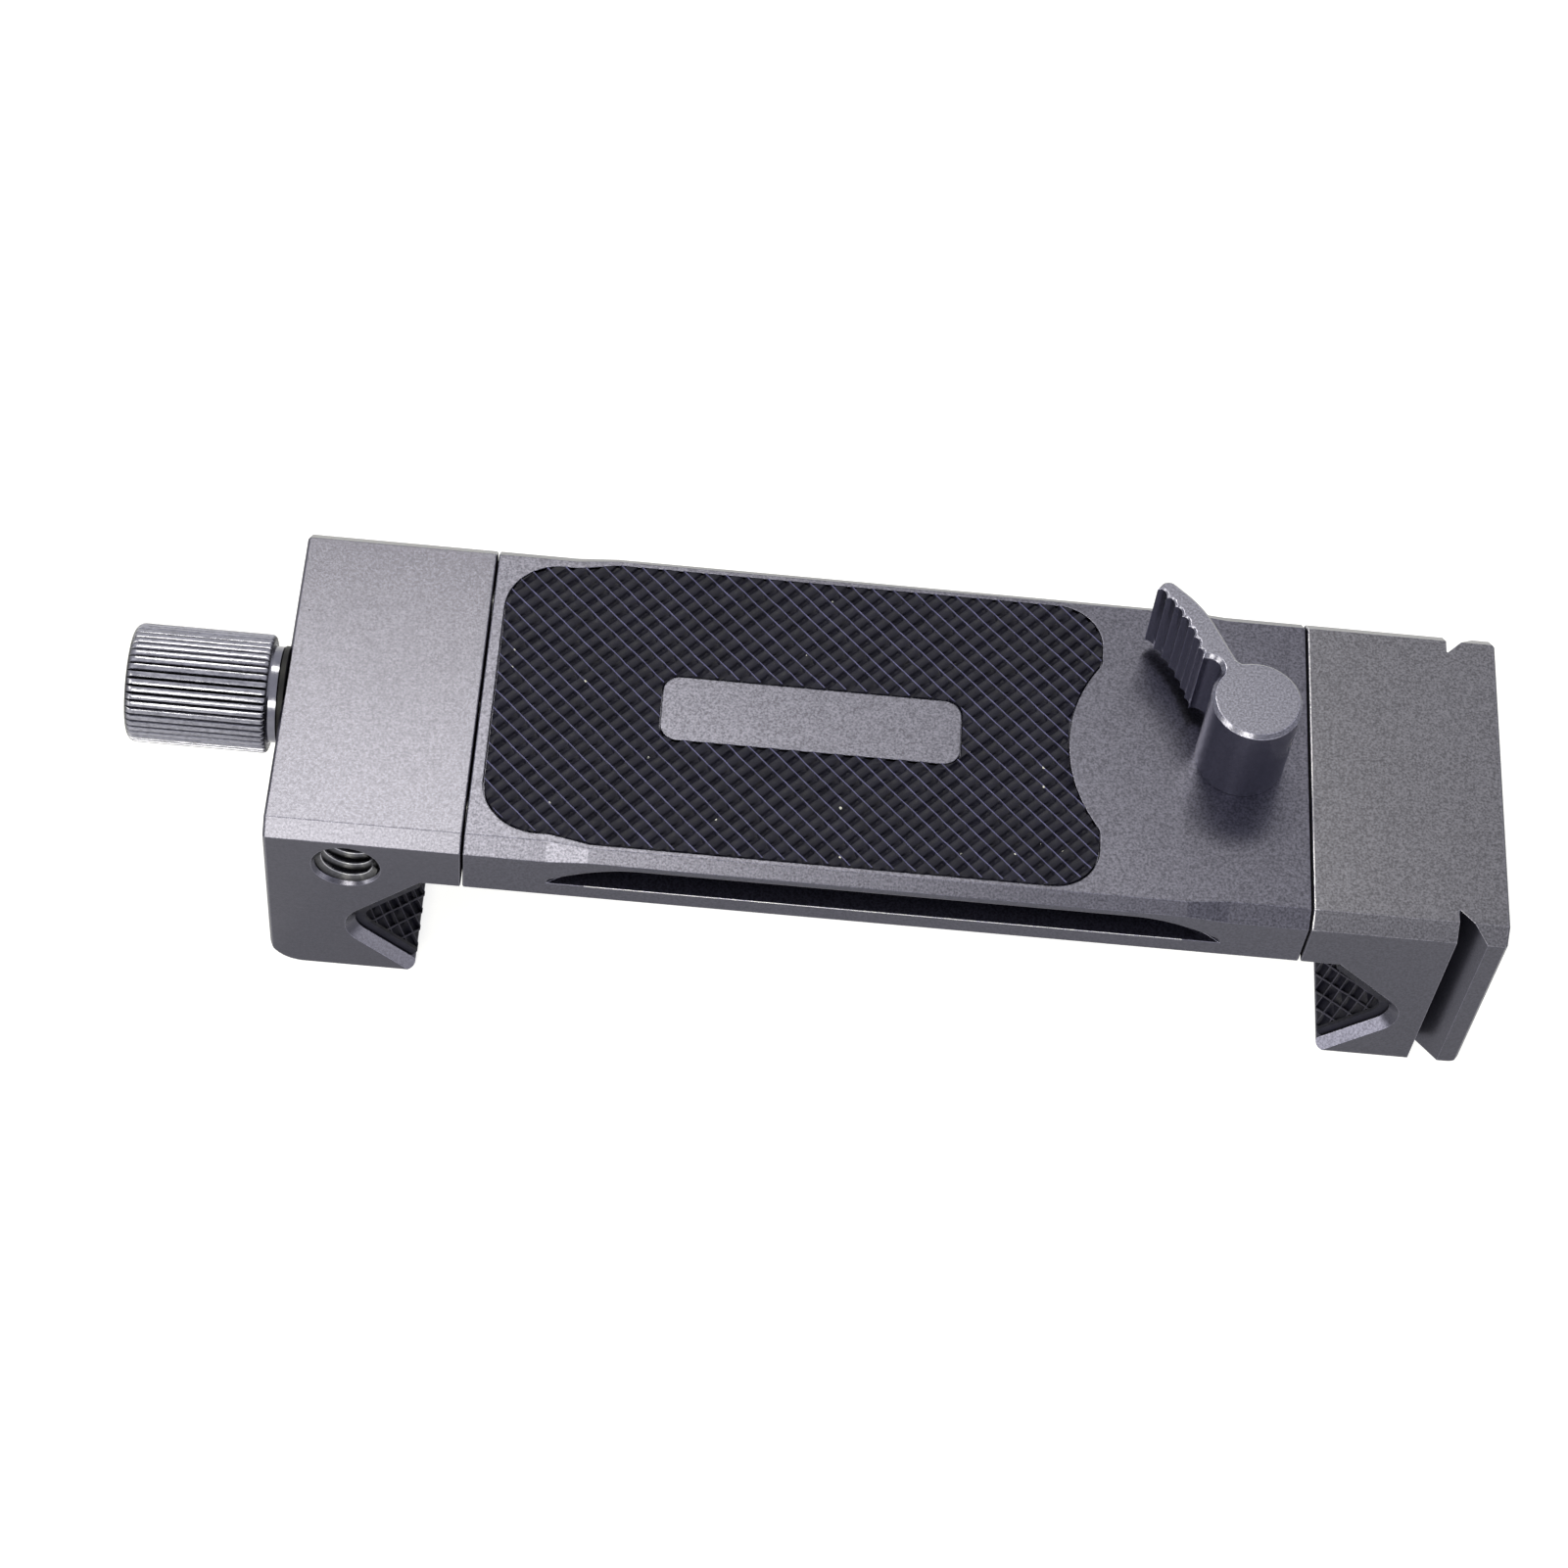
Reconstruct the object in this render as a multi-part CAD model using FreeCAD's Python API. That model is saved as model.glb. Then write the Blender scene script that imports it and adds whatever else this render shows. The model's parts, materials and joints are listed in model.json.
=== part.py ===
"""Tablet clamp holder, in millimetres.

The holder stands on the flat ends of its two hooks, padded face up.
+X runs from the knob to the dovetail end, +Y from the threaded hole's side to the far side.
The origin is on the standing plane, under the middle of the whole length and width.
"""
import FreeCAD, Part
import math
import os

# Overall sizes
WIDTH = 38.0                   # across the dovetails, the size that a camera clamp grips
BODY_LENGTH = 85.4
BODY_THICKNESS = 7.6
JAW_HEIGHT = 25.2
LEFT_JAW_LENGTH = 19.85
RIGHT_JAW_LENGTH = 20.0
SEAM_GAP = 0.2                 # between each jaw and the body when closed
LONG_BEVEL = 1.55              # along the long top edges of the jaws and the body's ends
WAIST_BEVEL = 1.1              # along the body's middle
END_BEVEL = 0.25
SEAM_BEVEL = 0.12

# Travel of the jaws and the brake
LEFT_TRAVEL = 10.0
RIGHT_TRAVEL = 55.0
BRAKE_STROKE = 0.2             # of the brake shoes that the lever's cam pushes

# Hooks, measured inward from a jaw's outer end and up from its foot
NOTCH_ROOT = 7.66              # where the two 45 degree slopes would meet
NOTCH_HEIGHT = 8.1
NOTCH_ROOT_RADIUS = 3.0
NOTCH_LIP_RADIUS = 2.0
NOTCH_RIM = 1.0                # bevel round the notch on the front and back faces
HOOK_TIP_RADIUS = 0.5
HEEL_RADIUS = 3.5
END_PLATE_HEEL = 1.0

# Rubber linings
JAW_PAD_THICKNESS = 1.0
JAW_PAD_INSET = 1.3            # from the jaw's front and back faces
JAW_PAD_MARGIN = 1.0           # from the hook's tip
JAW_PAD_END = 0.25
PAD_THICKNESS = 1.2
PAD_RECESS = 0.9
PAD_CLEARANCE = 0.15
PAD_LEFT_MARGIN = 1.35         # from the body's left end
PAD_SIDE_MARGIN = 1.7          # from the body's front and back faces
PAD_HORN_FROM_SIDE = 6.92      # from the pad's side to the point of its horn
PAD_WAIST_STEP = 0.8           # how much further in the pad's sides are at its left end
PAD_STEP_START = 8.6           # where the narrow left end of the pad begins to widen
PAD_STEP_LENGTH = 4.0
PAD_LEFT_CORNER = 5.8
PAD_RIGHT_CORNER = 4.8
PAD_SWEEP_CLEARANCE = 1.45     # between the lever's tip and the pad's hollow end
PAD_HORN_RADIUS = 1.6
ISLAND_WIDTH = 7.8
ISLAND_CORNER = 1.8
ISLAND_FROM_LEFT = 18.5        # from the body's left end
ISLAND_FROM_HOLLOW = 11.1      # from the middle of the pad's hollow end

# Side dovetails of the body
DOVETAIL_DEPTH = 3.0
DOVETAIL_TOP = 1.9             # from the top face down to the slanted wall
DOVETAIL_LAND = 0.6
DOVETAIL_CUTTER_REACH = 13.0   # from the body's side face to the cutter's axis
DOVETAIL_RUN_IN = 17.75        # from a body end to the cutter's last place
WAIST_START = 8.3              # from a body end to where the bevel begins to narrow
WAIST_RAMP = 4.2

# End dovetail of the right jaw
END_NOTCH_WALL = 5.2           # from the outer end to the straight wall
END_NOTCH_DEPTH = 3.0
END_NOTCH_FLOOR = 0.15
END_NOTCH_ROOT = 0.12

# Threaded mounting hole in the left jaw
SOCKET_RADIUS = 3.175          # quarter inch thread, outside radius
SOCKET_MOUTH_RADIUS = 3.55
SOCKET_DEPTH = 11.0
SOCKET_FROM_END = 8.25
SOCKET_BELOW_TOP = 5.85

# Guide rods
ROD_RADIUS = 2.0
ROD_CLEARANCE = 0.05
ROD_BELOW_TOP = 3.9
ROD_SEAT = 7.65                # length pressed into a jaw
LEFT_ROD_FROM_SIDE = 6.0
LEFT_ROD_REACH = 30.0
RIGHT_ROD_SPACING = 14.0
RIGHT_ROD_REACH = 72.5
ROD_BLIND_CLEARANCE = 1.5

# Stop screws, whose ends run in slots under the front rods
STOP_RADIUS = 1.0
STOP_LENGTH = 2.1
STOP_SUNK = 0.2                # how far a stop screw or pin lies inside the underside
SLOT_DEPTH = 0.85
SLOT_END_CLEARANCE = 0.15
STOP_FROM_END = 3.8

# Adjusting screw and knob
SCREW_RADIUS = 2.45
SCREW_CLEARANCE = 0.05
SCREW_BELOW_TOP = 4.1
SCREW_REACH = 22.0             # into the body when closed
KNOB_RADIUS = 6.15
KNOB_RIB_DEPTH = 0.42
KNOB_RIBS = 40
KNOB_RIB_LAND = 0.34           # share of a rib's pitch that its crest takes
KNOB_REACH = 16.0              # from the left jaw to the knob's far end
KNOB_BEVEL = 0.7
KNOB_DISH_RADIUS = 4.2
KNOB_DISH_DEPTH = 0.5
KNOB_GROOVE_RADIUS = 5.1
KNOB_GROOVE_WIDTH = 0.3
COLLAR_RADIUS = 5.75
COLLAR_WIDTH = 0.75
WASHER_RADIUS = 5.1
WASHER_THICKNESS = 0.5
SCREW_IN_KNOB = 12.0
RETAINER_GROOVE_RADIUS = 1.7
RETAINER_RADIUS = 0.8
RETAINER_LENGTH = 5.4
RETAINER_FROM_SEAM = 1.45
RETAINER_CLEARANCE = 0.05

# Cam lever
LEVER_FROM_END = 7.25          # from the body's right end to the lever's axis
HUB_RADIUS = 4.65
HUB_HEIGHT = 10.8
HUB_GAP = 0.05
HUB_BEVEL = 0.4
ARM_GAP = 1.5
ARM_REACH = 16.3               # from the lever's axis to its tip
GRIP_ARC_RADIUS = 17.0         # the hollow line of the lever's grip
GRIP_ARC_X = -22.3             # centre of that line, from the lever's axis
GRIP_ARC_Y = 0.87
GRIP_SCALLOPS = 7
GRIP_START = 12.7              # degrees on the grip line
GRIP_STEP = 4.56
SCALLOP_RADIUS = 0.85
SCALLOP_DEPTH = 0.45
SCALLOP_BEVEL = 0.15
NECK_HOLLOW_RADIUS = 1.45      # the thumb's relief between grip and hub
NECK_HOLLOW_X = -5.0
NECK_HOLLOW_Y = 3.4
ARM_ROOT_RADIUS = 1.0
STEM_LENGTH = 6.0
JOURNAL_RADIUS = 3.05
CAM_LONG_RADIUS = 2.9
CAM_SHORT_RADIUS = CAM_LONG_RADIUS - BRAKE_STROKE
CAM_HALF_HEIGHT = 1.85
FOOT_RADIUS = 1.9
SHAFT_CLEARANCE = 0.05
FOOT_WALL = 0.7
KEEPER_RADIUS = 3.3
KEEPER_THICKNESS = 0.4
KEEPER_POCKET_CLEARANCE = 0.3
LEVER_SCREW_RADIUS = 0.9
LEVER_SCREW_HEAD_RADIUS = 1.9
LEVER_SCREW_HEAD = 0.5
LEVER_SCREW_LENGTH = 3.6
DRIVE_RADIUS = 0.6
DRIVE_DEPTH = 0.3

# The arm's outline before its grip side is hollowed: x, y from the lever's axis, and radius
ARM_CORNERS = [
    (0, 0, 0),
    (-1.63, 4.0, 0),
    (-5.33, 11.17, 12.0),
    (-9.08, 14.4, 0.9),
    (-10.9, 11.8, 0),
    (-7.2, 3.6, 0),
    (NECK_HOLLOW_X, NECK_HOLLOW_Y, 0),
    (-3.0, 2.2, 0),
]

# Brake shoes between the cam and the right jaw's rods
SHOE_LENGTH = 3.6
SHOE_HEIGHT = 3.1
SHOE_CLEARANCE = 0.05

# Places worked out from the sizes above
TOP = JAW_HEIGHT
UNDERSIDE = TOP - BODY_THICKNESS
HALF_WIDTH = WIDTH / 2
PAD_HALF_WIDTH = HALF_WIDTH - PAD_SIDE_MARGIN
PAD_WAIST_HALF_WIDTH = PAD_HALF_WIDTH - PAD_WAIST_STEP
LEFT_ROD_SPACING = WIDTH - 2 * LEFT_ROD_FROM_SIDE
BLOCK_LENGTH = LEFT_JAW_LENGTH + SEAM_GAP + BODY_LENGTH + SEAM_GAP + RIGHT_JAW_LENGTH
LEFT_FACE = KNOB_REACH - (KNOB_REACH + BLOCK_LENGTH) / 2
BODY_LEFT = LEFT_FACE + LEFT_JAW_LENGTH + SEAM_GAP
BODY_RIGHT = BODY_LEFT + BODY_LENGTH
RIGHT_SEAM = BODY_RIGHT + SEAM_GAP
RIGHT_FACE = RIGHT_SEAM + RIGHT_JAW_LENGTH
LEVER_X = BODY_RIGHT - LEVER_FROM_END
PAD_HOLLOW_RADIUS = ARM_REACH + PAD_SWEEP_CLEARANCE
PAD_HORN_Y = PAD_HALF_WIDTH - PAD_HORN_FROM_SIDE
PAD_RIGHT = LEVER_X - math.sqrt(PAD_HOLLOW_RADIUS ** 2 - PAD_HORN_Y ** 2)
ISLAND_LEFT = BODY_LEFT + ISLAND_FROM_LEFT
ISLAND_RIGHT = LEVER_X - PAD_HOLLOW_RADIUS - ISLAND_FROM_HOLLOW
ROD_Z = TOP - ROD_BELOW_TOP
SCREW_Z = TOP - SCREW_BELOW_TOP
BORE_RADIUS = ROD_RADIUS + ROD_CLEARANCE
FOOT_END = ROD_Z - CAM_HALF_HEIGHT - FOOT_WALL - 2 * SHAFT_CLEARANCE
X_AXIS = FreeCAD.Vector(1, 0, 0)
Y_AXIS = FreeCAD.Vector(0, 1, 0)
Z_AXIS = FreeCAD.Vector(0, 0, 1)
OVER = 1.0                     # how far cutting tools stand past a face


def vec(x, y, z):
    return FreeCAD.Vector(x, y, z)


def rod(radius, x, y, z, axis, length):
    """A cylinder that starts at a point and runs along an axis."""
    return Part.makeCylinder(radius, length, vec(x, y, z), axis)


def box(x_range, y_range, z_range):
    size = [high - low for low, high in (x_range, y_range, z_range)]
    return Part.makeBox(*size, vec(x_range[0], y_range[0], z_range[0]))


def rounded_corner(before, corner, after, radius):
    """Start, middle and end of the arc that rounds a corner of an outline."""
    back = (before - corner).normalize()
    ahead = (after - corner).normalize()
    half = back.getAngle(ahead) / 2
    start = corner + back * (radius / math.tan(half))
    end = corner + ahead * (radius / math.tan(half))
    inward = (back + ahead).normalize()
    middle = corner + inward * (radius / math.sin(half) - radius)
    return start, middle, end


def outline(corners, place):
    """A closed wire through corners (u, v, radius); place turns u and v into a point."""
    points = [place(u, v) for u, v, radius in corners]
    count = len(corners)
    joints = []
    for i in range(count):
        radius = corners[i][2]
        if radius > 0:
            joints.append(rounded_corner(points[i - 1], points[i], points[(i + 1) % count], radius))
        else:
            joints.append((points[i], None, points[i]))
    edges = []
    for i in range(count):
        start, middle, end = joints[i]
        if middle is not None:
            edges.append(Part.Arc(start, middle, end).toShape())
        edges.append(Part.makeLine(end, joints[(i + 1) % count][0]))
    return Part.Wire(edges)


def prism(corners, place, direction):
    return Part.Face(outline(corners, place)).extrude(direction)


def edges_where(shape, test):
    """The edges whose every vertex passes the test."""
    return [edge for edge in shape.Edges if all(test(vertex.Point) for vertex in edge.Vertexes)]


def near(value, target):
    return abs(value - target) < 1e-4


def revolved(profile):
    """A solid turned about the X axis at the screw's height, from (x, radius) corners."""
    points = [vec(x, 0, SCREW_Z + radius) for x, radius in profile]
    face = Part.Face(Part.makePolygon(points + [points[0]]))
    return face.revolve(vec(0, 0, SCREW_Z), X_AXIS, 360)


# Jaws. A jaw's profile is drawn in u, inward from its outer end, and z.

def left_place(y):
    return lambda u, z: vec(LEFT_FACE + u, y, z)


def right_place(y):
    return lambda u, z: vec(RIGHT_FACE - u, y, z)


def hook_profile(length, heel_radius):
    lip = NOTCH_ROOT + UNDERSIDE - NOTCH_HEIGHT
    tip = NOTCH_ROOT + NOTCH_HEIGHT
    return [
        (0, 0, heel_radius),
        (0, TOP, 0),
        (length, TOP, 0),
        (length, UNDERSIDE + SEAM_BEVEL, 0),
        (length - SEAM_BEVEL, UNDERSIDE, 0),
        (lip, UNDERSIDE, NOTCH_LIP_RADIUS),
        (NOTCH_ROOT, NOTCH_HEIGHT, NOTCH_ROOT_RADIUS),
        (tip, 0, HOOK_TIP_RADIUS),
    ]


def faceted(sections):
    """A solid with flat faces through a row of matching polygons."""
    faces = [Part.Face(Part.makePolygon(section + [section[0]])) for section in (sections[0], sections[-1])]
    for near_end, far_end in zip(sections, sections[1:]):
        for i in range(len(near_end)):
            following = (i + 1) % len(near_end)
            loop = [near_end[i], near_end[following], far_end[following], far_end[i], near_end[i]]
            faces.append(Part.Face(Part.makePolygon(loop)))
    solid = Part.Solid(Part.Shell(faces))
    if solid.Volume < 0:
        solid.reverse()
    return solid


def beveled_bar(stations, low):
    """A bar along X with beveled long top edges, from stations of x, inset and bevel."""
    sections = []
    for x, inset, bevel in stations:
        corner = bevel + inset * (math.sqrt(2) - 1)
        back_half = [
            (HALF_WIDTH - inset, low + inset),
            (HALF_WIDTH - inset, TOP - corner),
            (HALF_WIDTH - corner, TOP - inset),
        ]
        front_half = [(-y, z) for y, z in reversed(back_half)]
        sections.append([vec(x, y, z) for y, z in back_half + front_half])
    return faceted(sections)


def notch_rims(place_at):
    """Tapered cutters that bevel the notch's edges on the front and back faces."""
    root_centre = NOTCH_ROOT + NOTCH_ROOT_RADIUS * math.sqrt(2)
    sink = NOTCH_RIM + OVER
    cutters = []
    for side in (-1, 1):
        inner_y = side * (HALF_WIDTH - sink)
        outer_y = side * (HALF_WIDTH + OVER)
        tool = Part.makeCone(NOTCH_ROOT_RADIUS - OVER, NOTCH_ROOT_RADIUS + sink, sink + OVER,
                             place_at(inner_y)(root_centre, NOTCH_HEIGHT), Y_AXIS * side)
        for slope in (-1, 1):
            corners = []
            for away, y in ((-OVER, inner_y), (sink, outer_y), (-OVER, outer_y)):
                step = (NOTCH_ROOT_RADIUS + away) / math.sqrt(2)
                corners.append(place_at(y)(root_centre - step, NOTCH_HEIGHT + slope * step))
            run = place_at(0)(UNDERSIDE, slope * UNDERSIDE) - place_at(0)(0, 0)
            tool = tool.fuse(Part.Face(Part.makePolygon(corners + [corners[0]])).extrude(run))
        below = box((LEFT_FACE, RIGHT_FACE), (-WIDTH, WIDTH), (-WIDTH, UNDERSIDE))
        cutters.append(tool.common(below))
    return cutters


def beveled_jaw(length, heel_radius, place_at):
    stations = []
    for u, inset in ((0, END_BEVEL), (END_BEVEL, 0), (length - SEAM_BEVEL, 0), (length, SEAM_BEVEL)):
        stations.append((place_at(0)(u, 0).x, inset, LONG_BEVEL))
    shape = prism(hook_profile(length, heel_radius), place_at(-HALF_WIDTH), vec(0, WIDTH, 0))
    shape = shape.common(beveled_bar(stations, -2 * OVER))
    for cutter in notch_rims(place_at):
        shape = shape.cut(cutter)
    return shape.removeSplitter()


def rod_seats(seam_x, inward, spacing):
    """Blind holes in a jaw's seam face, which hold its two guide rods."""
    start = seam_x - inward * OVER
    return [rod(ROD_RADIUS, start, side * spacing / 2, ROD_Z, X_AXIS * inward, ROD_SEAT + OVER)
            for side in (-1, 1)]


def left_jaw():
    shape = beveled_jaw(LEFT_JAW_LENGTH, HEEL_RADIUS, left_place)
    seam_x = LEFT_FACE + LEFT_JAW_LENGTH
    for seat in rod_seats(seam_x, -1, LEFT_ROD_SPACING):
        shape = shape.cut(seat)
    shape = shape.cut(rod(SCREW_RADIUS + SCREW_CLEARANCE, LEFT_FACE - OVER, 0, SCREW_Z, X_AXIS,
                          LEFT_JAW_LENGTH + 2 * OVER))
    for pin in retaining_pins(OVER):
        shape = shape.cut(pin)
    socket_x = LEFT_FACE + SOCKET_FROM_END
    socket_z = TOP - SOCKET_BELOW_TOP
    mouth_depth = SOCKET_MOUTH_RADIUS - SOCKET_RADIUS
    socket = rod(SOCKET_RADIUS, socket_x, -HALF_WIDTH - OVER, socket_z, Y_AXIS, SOCKET_DEPTH + OVER)
    mouth = Part.makeCone(SOCKET_MOUTH_RADIUS, SOCKET_RADIUS, mouth_depth,
                          vec(socket_x, -HALF_WIDTH, socket_z), Y_AXIS)
    return shape.cut(socket).cut(mouth)


def end_notch(side):
    """The 45 degree notch that makes the jaw's outer end a dovetail plate."""
    slope_end = END_NOTCH_WALL - END_NOTCH_FLOOR - END_NOTCH_DEPTH
    corners = [
        (END_NOTCH_WALL, OVER, 0),
        (END_NOTCH_WALL, -END_NOTCH_DEPTH, END_NOTCH_ROOT),
        (END_NOTCH_WALL - END_NOTCH_FLOOR, -END_NOTCH_DEPTH, 0),
        (slope_end - OVER, OVER, 0),
    ]

    def place(u, v):
        return vec(RIGHT_FACE - u, side * (HALF_WIDTH + v), -OVER)

    return prism(corners, place, vec(0, 0, TOP + 2 * OVER))


def right_jaw():
    shape = beveled_jaw(RIGHT_JAW_LENGTH, END_PLATE_HEEL, right_place)
    for side in (-1, 1):
        shape = shape.cut(end_notch(side))
    for seat in rod_seats(RIGHT_SEAM, 1, RIGHT_ROD_SPACING):
        shape = shape.cut(seat)
    return shape


def jaw_pad(place_at):
    """A bent rubber strip glued into a hook's notch."""
    thick = JAW_PAD_THICKNESS * math.sqrt(2)
    across = JAW_PAD_END / math.sqrt(2)
    low_end = NOTCH_ROOT + NOTCH_HEIGHT - JAW_PAD_MARGIN
    low_z = NOTCH_HEIGHT - (low_end - NOTCH_ROOT)
    high_end = NOTCH_ROOT + UNDERSIDE - NOTCH_HEIGHT - NOTCH_LIP_RADIUS
    high_z = NOTCH_HEIGHT + (high_end - NOTCH_ROOT)
    inset = JAW_PAD_THICKNESS / math.sqrt(2)
    corners = [
        (high_end, high_z, 0),
        (NOTCH_ROOT, NOTCH_HEIGHT, NOTCH_ROOT_RADIUS),
        (low_end, low_z, 0),
        (low_end + inset - across, low_z + inset + across, JAW_PAD_END),
        (NOTCH_ROOT + thick, NOTCH_HEIGHT, NOTCH_ROOT_RADIUS - JAW_PAD_THICKNESS),
        (high_end + inset - across, high_z - inset - across, JAW_PAD_END),
    ]
    length = WIDTH - 2 * JAW_PAD_INSET
    return prism(corners, place_at(-length / 2), vec(0, length, 0))


# Body

def dovetail_cutter(side):
    """The space a conical milling cutter leaves along one side of the body."""
    axis_y = side * (HALF_WIDTH + DOVETAIL_CUTTER_REACH)
    low = TOP - DOVETAIL_TOP - DOVETAIL_DEPTH - DOVETAIL_LAND
    shoulder = low + DOVETAIL_LAND
    wide = DOVETAIL_CUTTER_REACH + DOVETAIL_DEPTH
    first = BODY_LEFT + DOVETAIL_RUN_IN
    last = BODY_RIGHT - DOVETAIL_RUN_IN
    tool = None
    for x in (first, last):
        land = rod(wide, x, axis_y, low, Z_AXIS, DOVETAIL_LAND)
        cone = Part.makeCone(wide, DOVETAIL_CUTTER_REACH, DOVETAIL_DEPTH, vec(x, axis_y, shoulder), Z_AXIS)
        both = land.fuse(cone)
        tool = both if tool is None else tool.fuse(both)
    inner = side * (HALF_WIDTH - DOVETAIL_DEPTH)
    points = [
        vec(first, axis_y, low),
        vec(first, inner, low),
        vec(first, inner, shoulder),
        vec(first, side * HALF_WIDTH, shoulder + DOVETAIL_DEPTH),
        vec(first, axis_y, shoulder + DOVETAIL_DEPTH),
    ]
    run = Part.Face(Part.makePolygon(points + [points[0]])).extrude(vec(last - first, 0, 0))
    return tool.fuse(run)


def pad_block(bottom, height, grow):
    """The pad's outline as a block, grown all round by a clearance."""
    left = BODY_LEFT + PAD_LEFT_MARGIN - grow
    right = PAD_RIGHT + grow
    step = BODY_LEFT + PAD_STEP_START
    corners = [(left, -PAD_WAIST_HALF_WIDTH - grow, PAD_LEFT_CORNER)]
    corners += [(step, -PAD_WAIST_HALF_WIDTH - grow, PAD_STEP_LENGTH)]
    corners += [(step + PAD_STEP_LENGTH, -PAD_HALF_WIDTH - grow, PAD_STEP_LENGTH)]
    corners += [(right, -PAD_HALF_WIDTH - grow, PAD_RIGHT_CORNER)]
    corners += [(x, -y, radius) for x, y, radius in reversed(corners)]

    def place(u, v):
        return vec(u, v, bottom)

    shape = prism(corners, place, vec(0, 0, height))
    sweep = rod(PAD_HOLLOW_RADIUS - grow, LEVER_X, 0, bottom - OVER, Z_AXIS, height + 2 * OVER)
    shape = shape.cut(sweep)
    upright = [edge for edge in edges_where(shape, lambda p: near(p.x, right)) if near(edge.Length, height)]
    horns = sorted(upright, key=lambda edge: abs(edge.Vertexes[0].Point.y))[:2]
    return shape.makeFillet(PAD_HORN_RADIUS, horns)


def island(bottom, height, grow):
    left = ISLAND_LEFT - grow
    right = ISLAND_RIGHT + grow
    half = ISLAND_WIDTH / 2 + grow
    corners = [
        (left, -half, ISLAND_CORNER),
        (right, -half, ISLAND_CORNER),
        (right, half, ISLAND_CORNER),
        (left, half, ISLAND_CORNER),
    ]
    return prism(corners, lambda u, v: vec(u, v, bottom), vec(0, 0, height))


def back_pad():
    floor = TOP - PAD_RECESS
    shape = pad_block(floor, PAD_THICKNESS, 0)
    return shape.cut(island(floor - OVER, PAD_THICKNESS + 2 * OVER, PAD_CLEARANCE))


def body():
    waist = WAIST_START + WAIST_RAMP
    shape = beveled_bar([
        (BODY_LEFT, SEAM_BEVEL, LONG_BEVEL),
        (BODY_LEFT + SEAM_BEVEL, 0, LONG_BEVEL),
        (BODY_LEFT + WAIST_START, 0, LONG_BEVEL),
        (BODY_LEFT + waist, 0, WAIST_BEVEL),
        (BODY_RIGHT - waist, 0, WAIST_BEVEL),
        (BODY_RIGHT - WAIST_START, 0, LONG_BEVEL),
        (BODY_RIGHT - SEAM_BEVEL, 0, LONG_BEVEL),
        (BODY_RIGHT, SEAM_BEVEL, LONG_BEVEL),
    ], UNDERSIDE).removeSplitter()
    for side in (-1, 1):
        shape = shape.cut(dovetail_cutter(side))
    recess = pad_block(TOP - PAD_RECESS, PAD_RECESS + OVER, PAD_CLEARANCE)
    recess = recess.cut(island(TOP - PAD_RECESS - OVER, PAD_RECESS + 3 * OVER, 0))
    return drilled_body(shape.cut(recess))


def drilled_body(shape):
    """Cuts the bores for the rods, the screw, the cam, the shoes and the stops."""
    for side in (-1, 1):
        left_bore = rod(BORE_RADIUS, BODY_LEFT - OVER, side * LEFT_ROD_SPACING / 2, ROD_Z, X_AXIS,
                        LEFT_ROD_REACH + ROD_BLIND_CLEARANCE + OVER)
        right_bore = rod(BORE_RADIUS, BODY_RIGHT + OVER, side * RIGHT_ROD_SPACING / 2, ROD_Z, -X_AXIS,
                         RIGHT_ROD_REACH + ROD_BLIND_CLEARANCE + OVER)
        shape = shape.cut(left_bore).cut(right_bore)
    shape = shape.cut(rod(SCREW_RADIUS + SCREW_CLEARANCE, BODY_LEFT - OVER, 0, SCREW_Z, X_AXIS,
                          SCREW_REACH + ROD_BLIND_CLEARANCE + OVER))
    shape = shape.cut(cam_bore())
    shape = shape.cut(shoe_channel())
    for stop in stop_screws(OVER):
        shape = shape.cut(stop)
    return shape


def cam_bore():
    """The stepped hole under the lever, with a pocket below for its washer."""
    floor = ROD_Z - CAM_HALF_HEIGHT - SHAFT_CLEARANCE
    wide = rod(JOURNAL_RADIUS + SHAFT_CLEARANCE, LEVER_X, 0, floor, Z_AXIS, TOP - floor + OVER)
    narrow = rod(FOOT_RADIUS + SHAFT_CLEARANCE, LEVER_X, 0, UNDERSIDE - OVER, Z_AXIS, BODY_THICKNESS)
    ceiling = floor - FOOT_WALL
    pocket = rod(KEEPER_RADIUS + KEEPER_POCKET_CLEARANCE, LEVER_X, 0, UNDERSIDE - OVER, Z_AXIS,
                 ceiling - UNDERSIDE + OVER)
    return wide.fuse([narrow, pocket])


def shoe_channel():
    """The cross slot that joins the cam's bore with the right jaw's two rod bores."""
    reach = RIGHT_ROD_SPACING / 2 - math.sqrt(BORE_RADIUS ** 2 - (SHOE_HEIGHT / 2 + SHOE_CLEARANCE) ** 2)
    half_length = SHOE_LENGTH / 2 + SHOE_CLEARANCE
    half_height = SHOE_HEIGHT / 2 + SHOE_CLEARANCE
    return box((LEVER_X - half_length, LEVER_X + half_length), (-reach, reach),
               (ROD_Z - half_height, ROD_Z + half_height))


# Rods, stops and the adjusting screw

def left_rod(side):
    start = LEFT_FACE + LEFT_JAW_LENGTH - ROD_SEAT
    end = BODY_LEFT + LEFT_ROD_REACH
    return rod(ROD_RADIUS, start, side * LEFT_ROD_SPACING / 2, ROD_Z, X_AXIS, end - start)


def right_rod(side):
    start = BODY_RIGHT - RIGHT_ROD_REACH
    end = RIGHT_SEAM + ROD_SEAT
    return rod(ROD_RADIUS, start, side * RIGHT_ROD_SPACING / 2, ROD_Z, X_AXIS, end - start)


def stop_slot(start_x, end_x, y):
    """The flat slot under a rod in which its stop screw runs."""
    margin = STOP_RADIUS + SLOT_END_CLEARANCE
    return box((start_x - margin, end_x + margin), (y - ROD_RADIUS, y + ROD_RADIUS),
               (ROD_Z - 2 * ROD_RADIUS, ROD_Z - ROD_RADIUS + SLOT_DEPTH))


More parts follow.
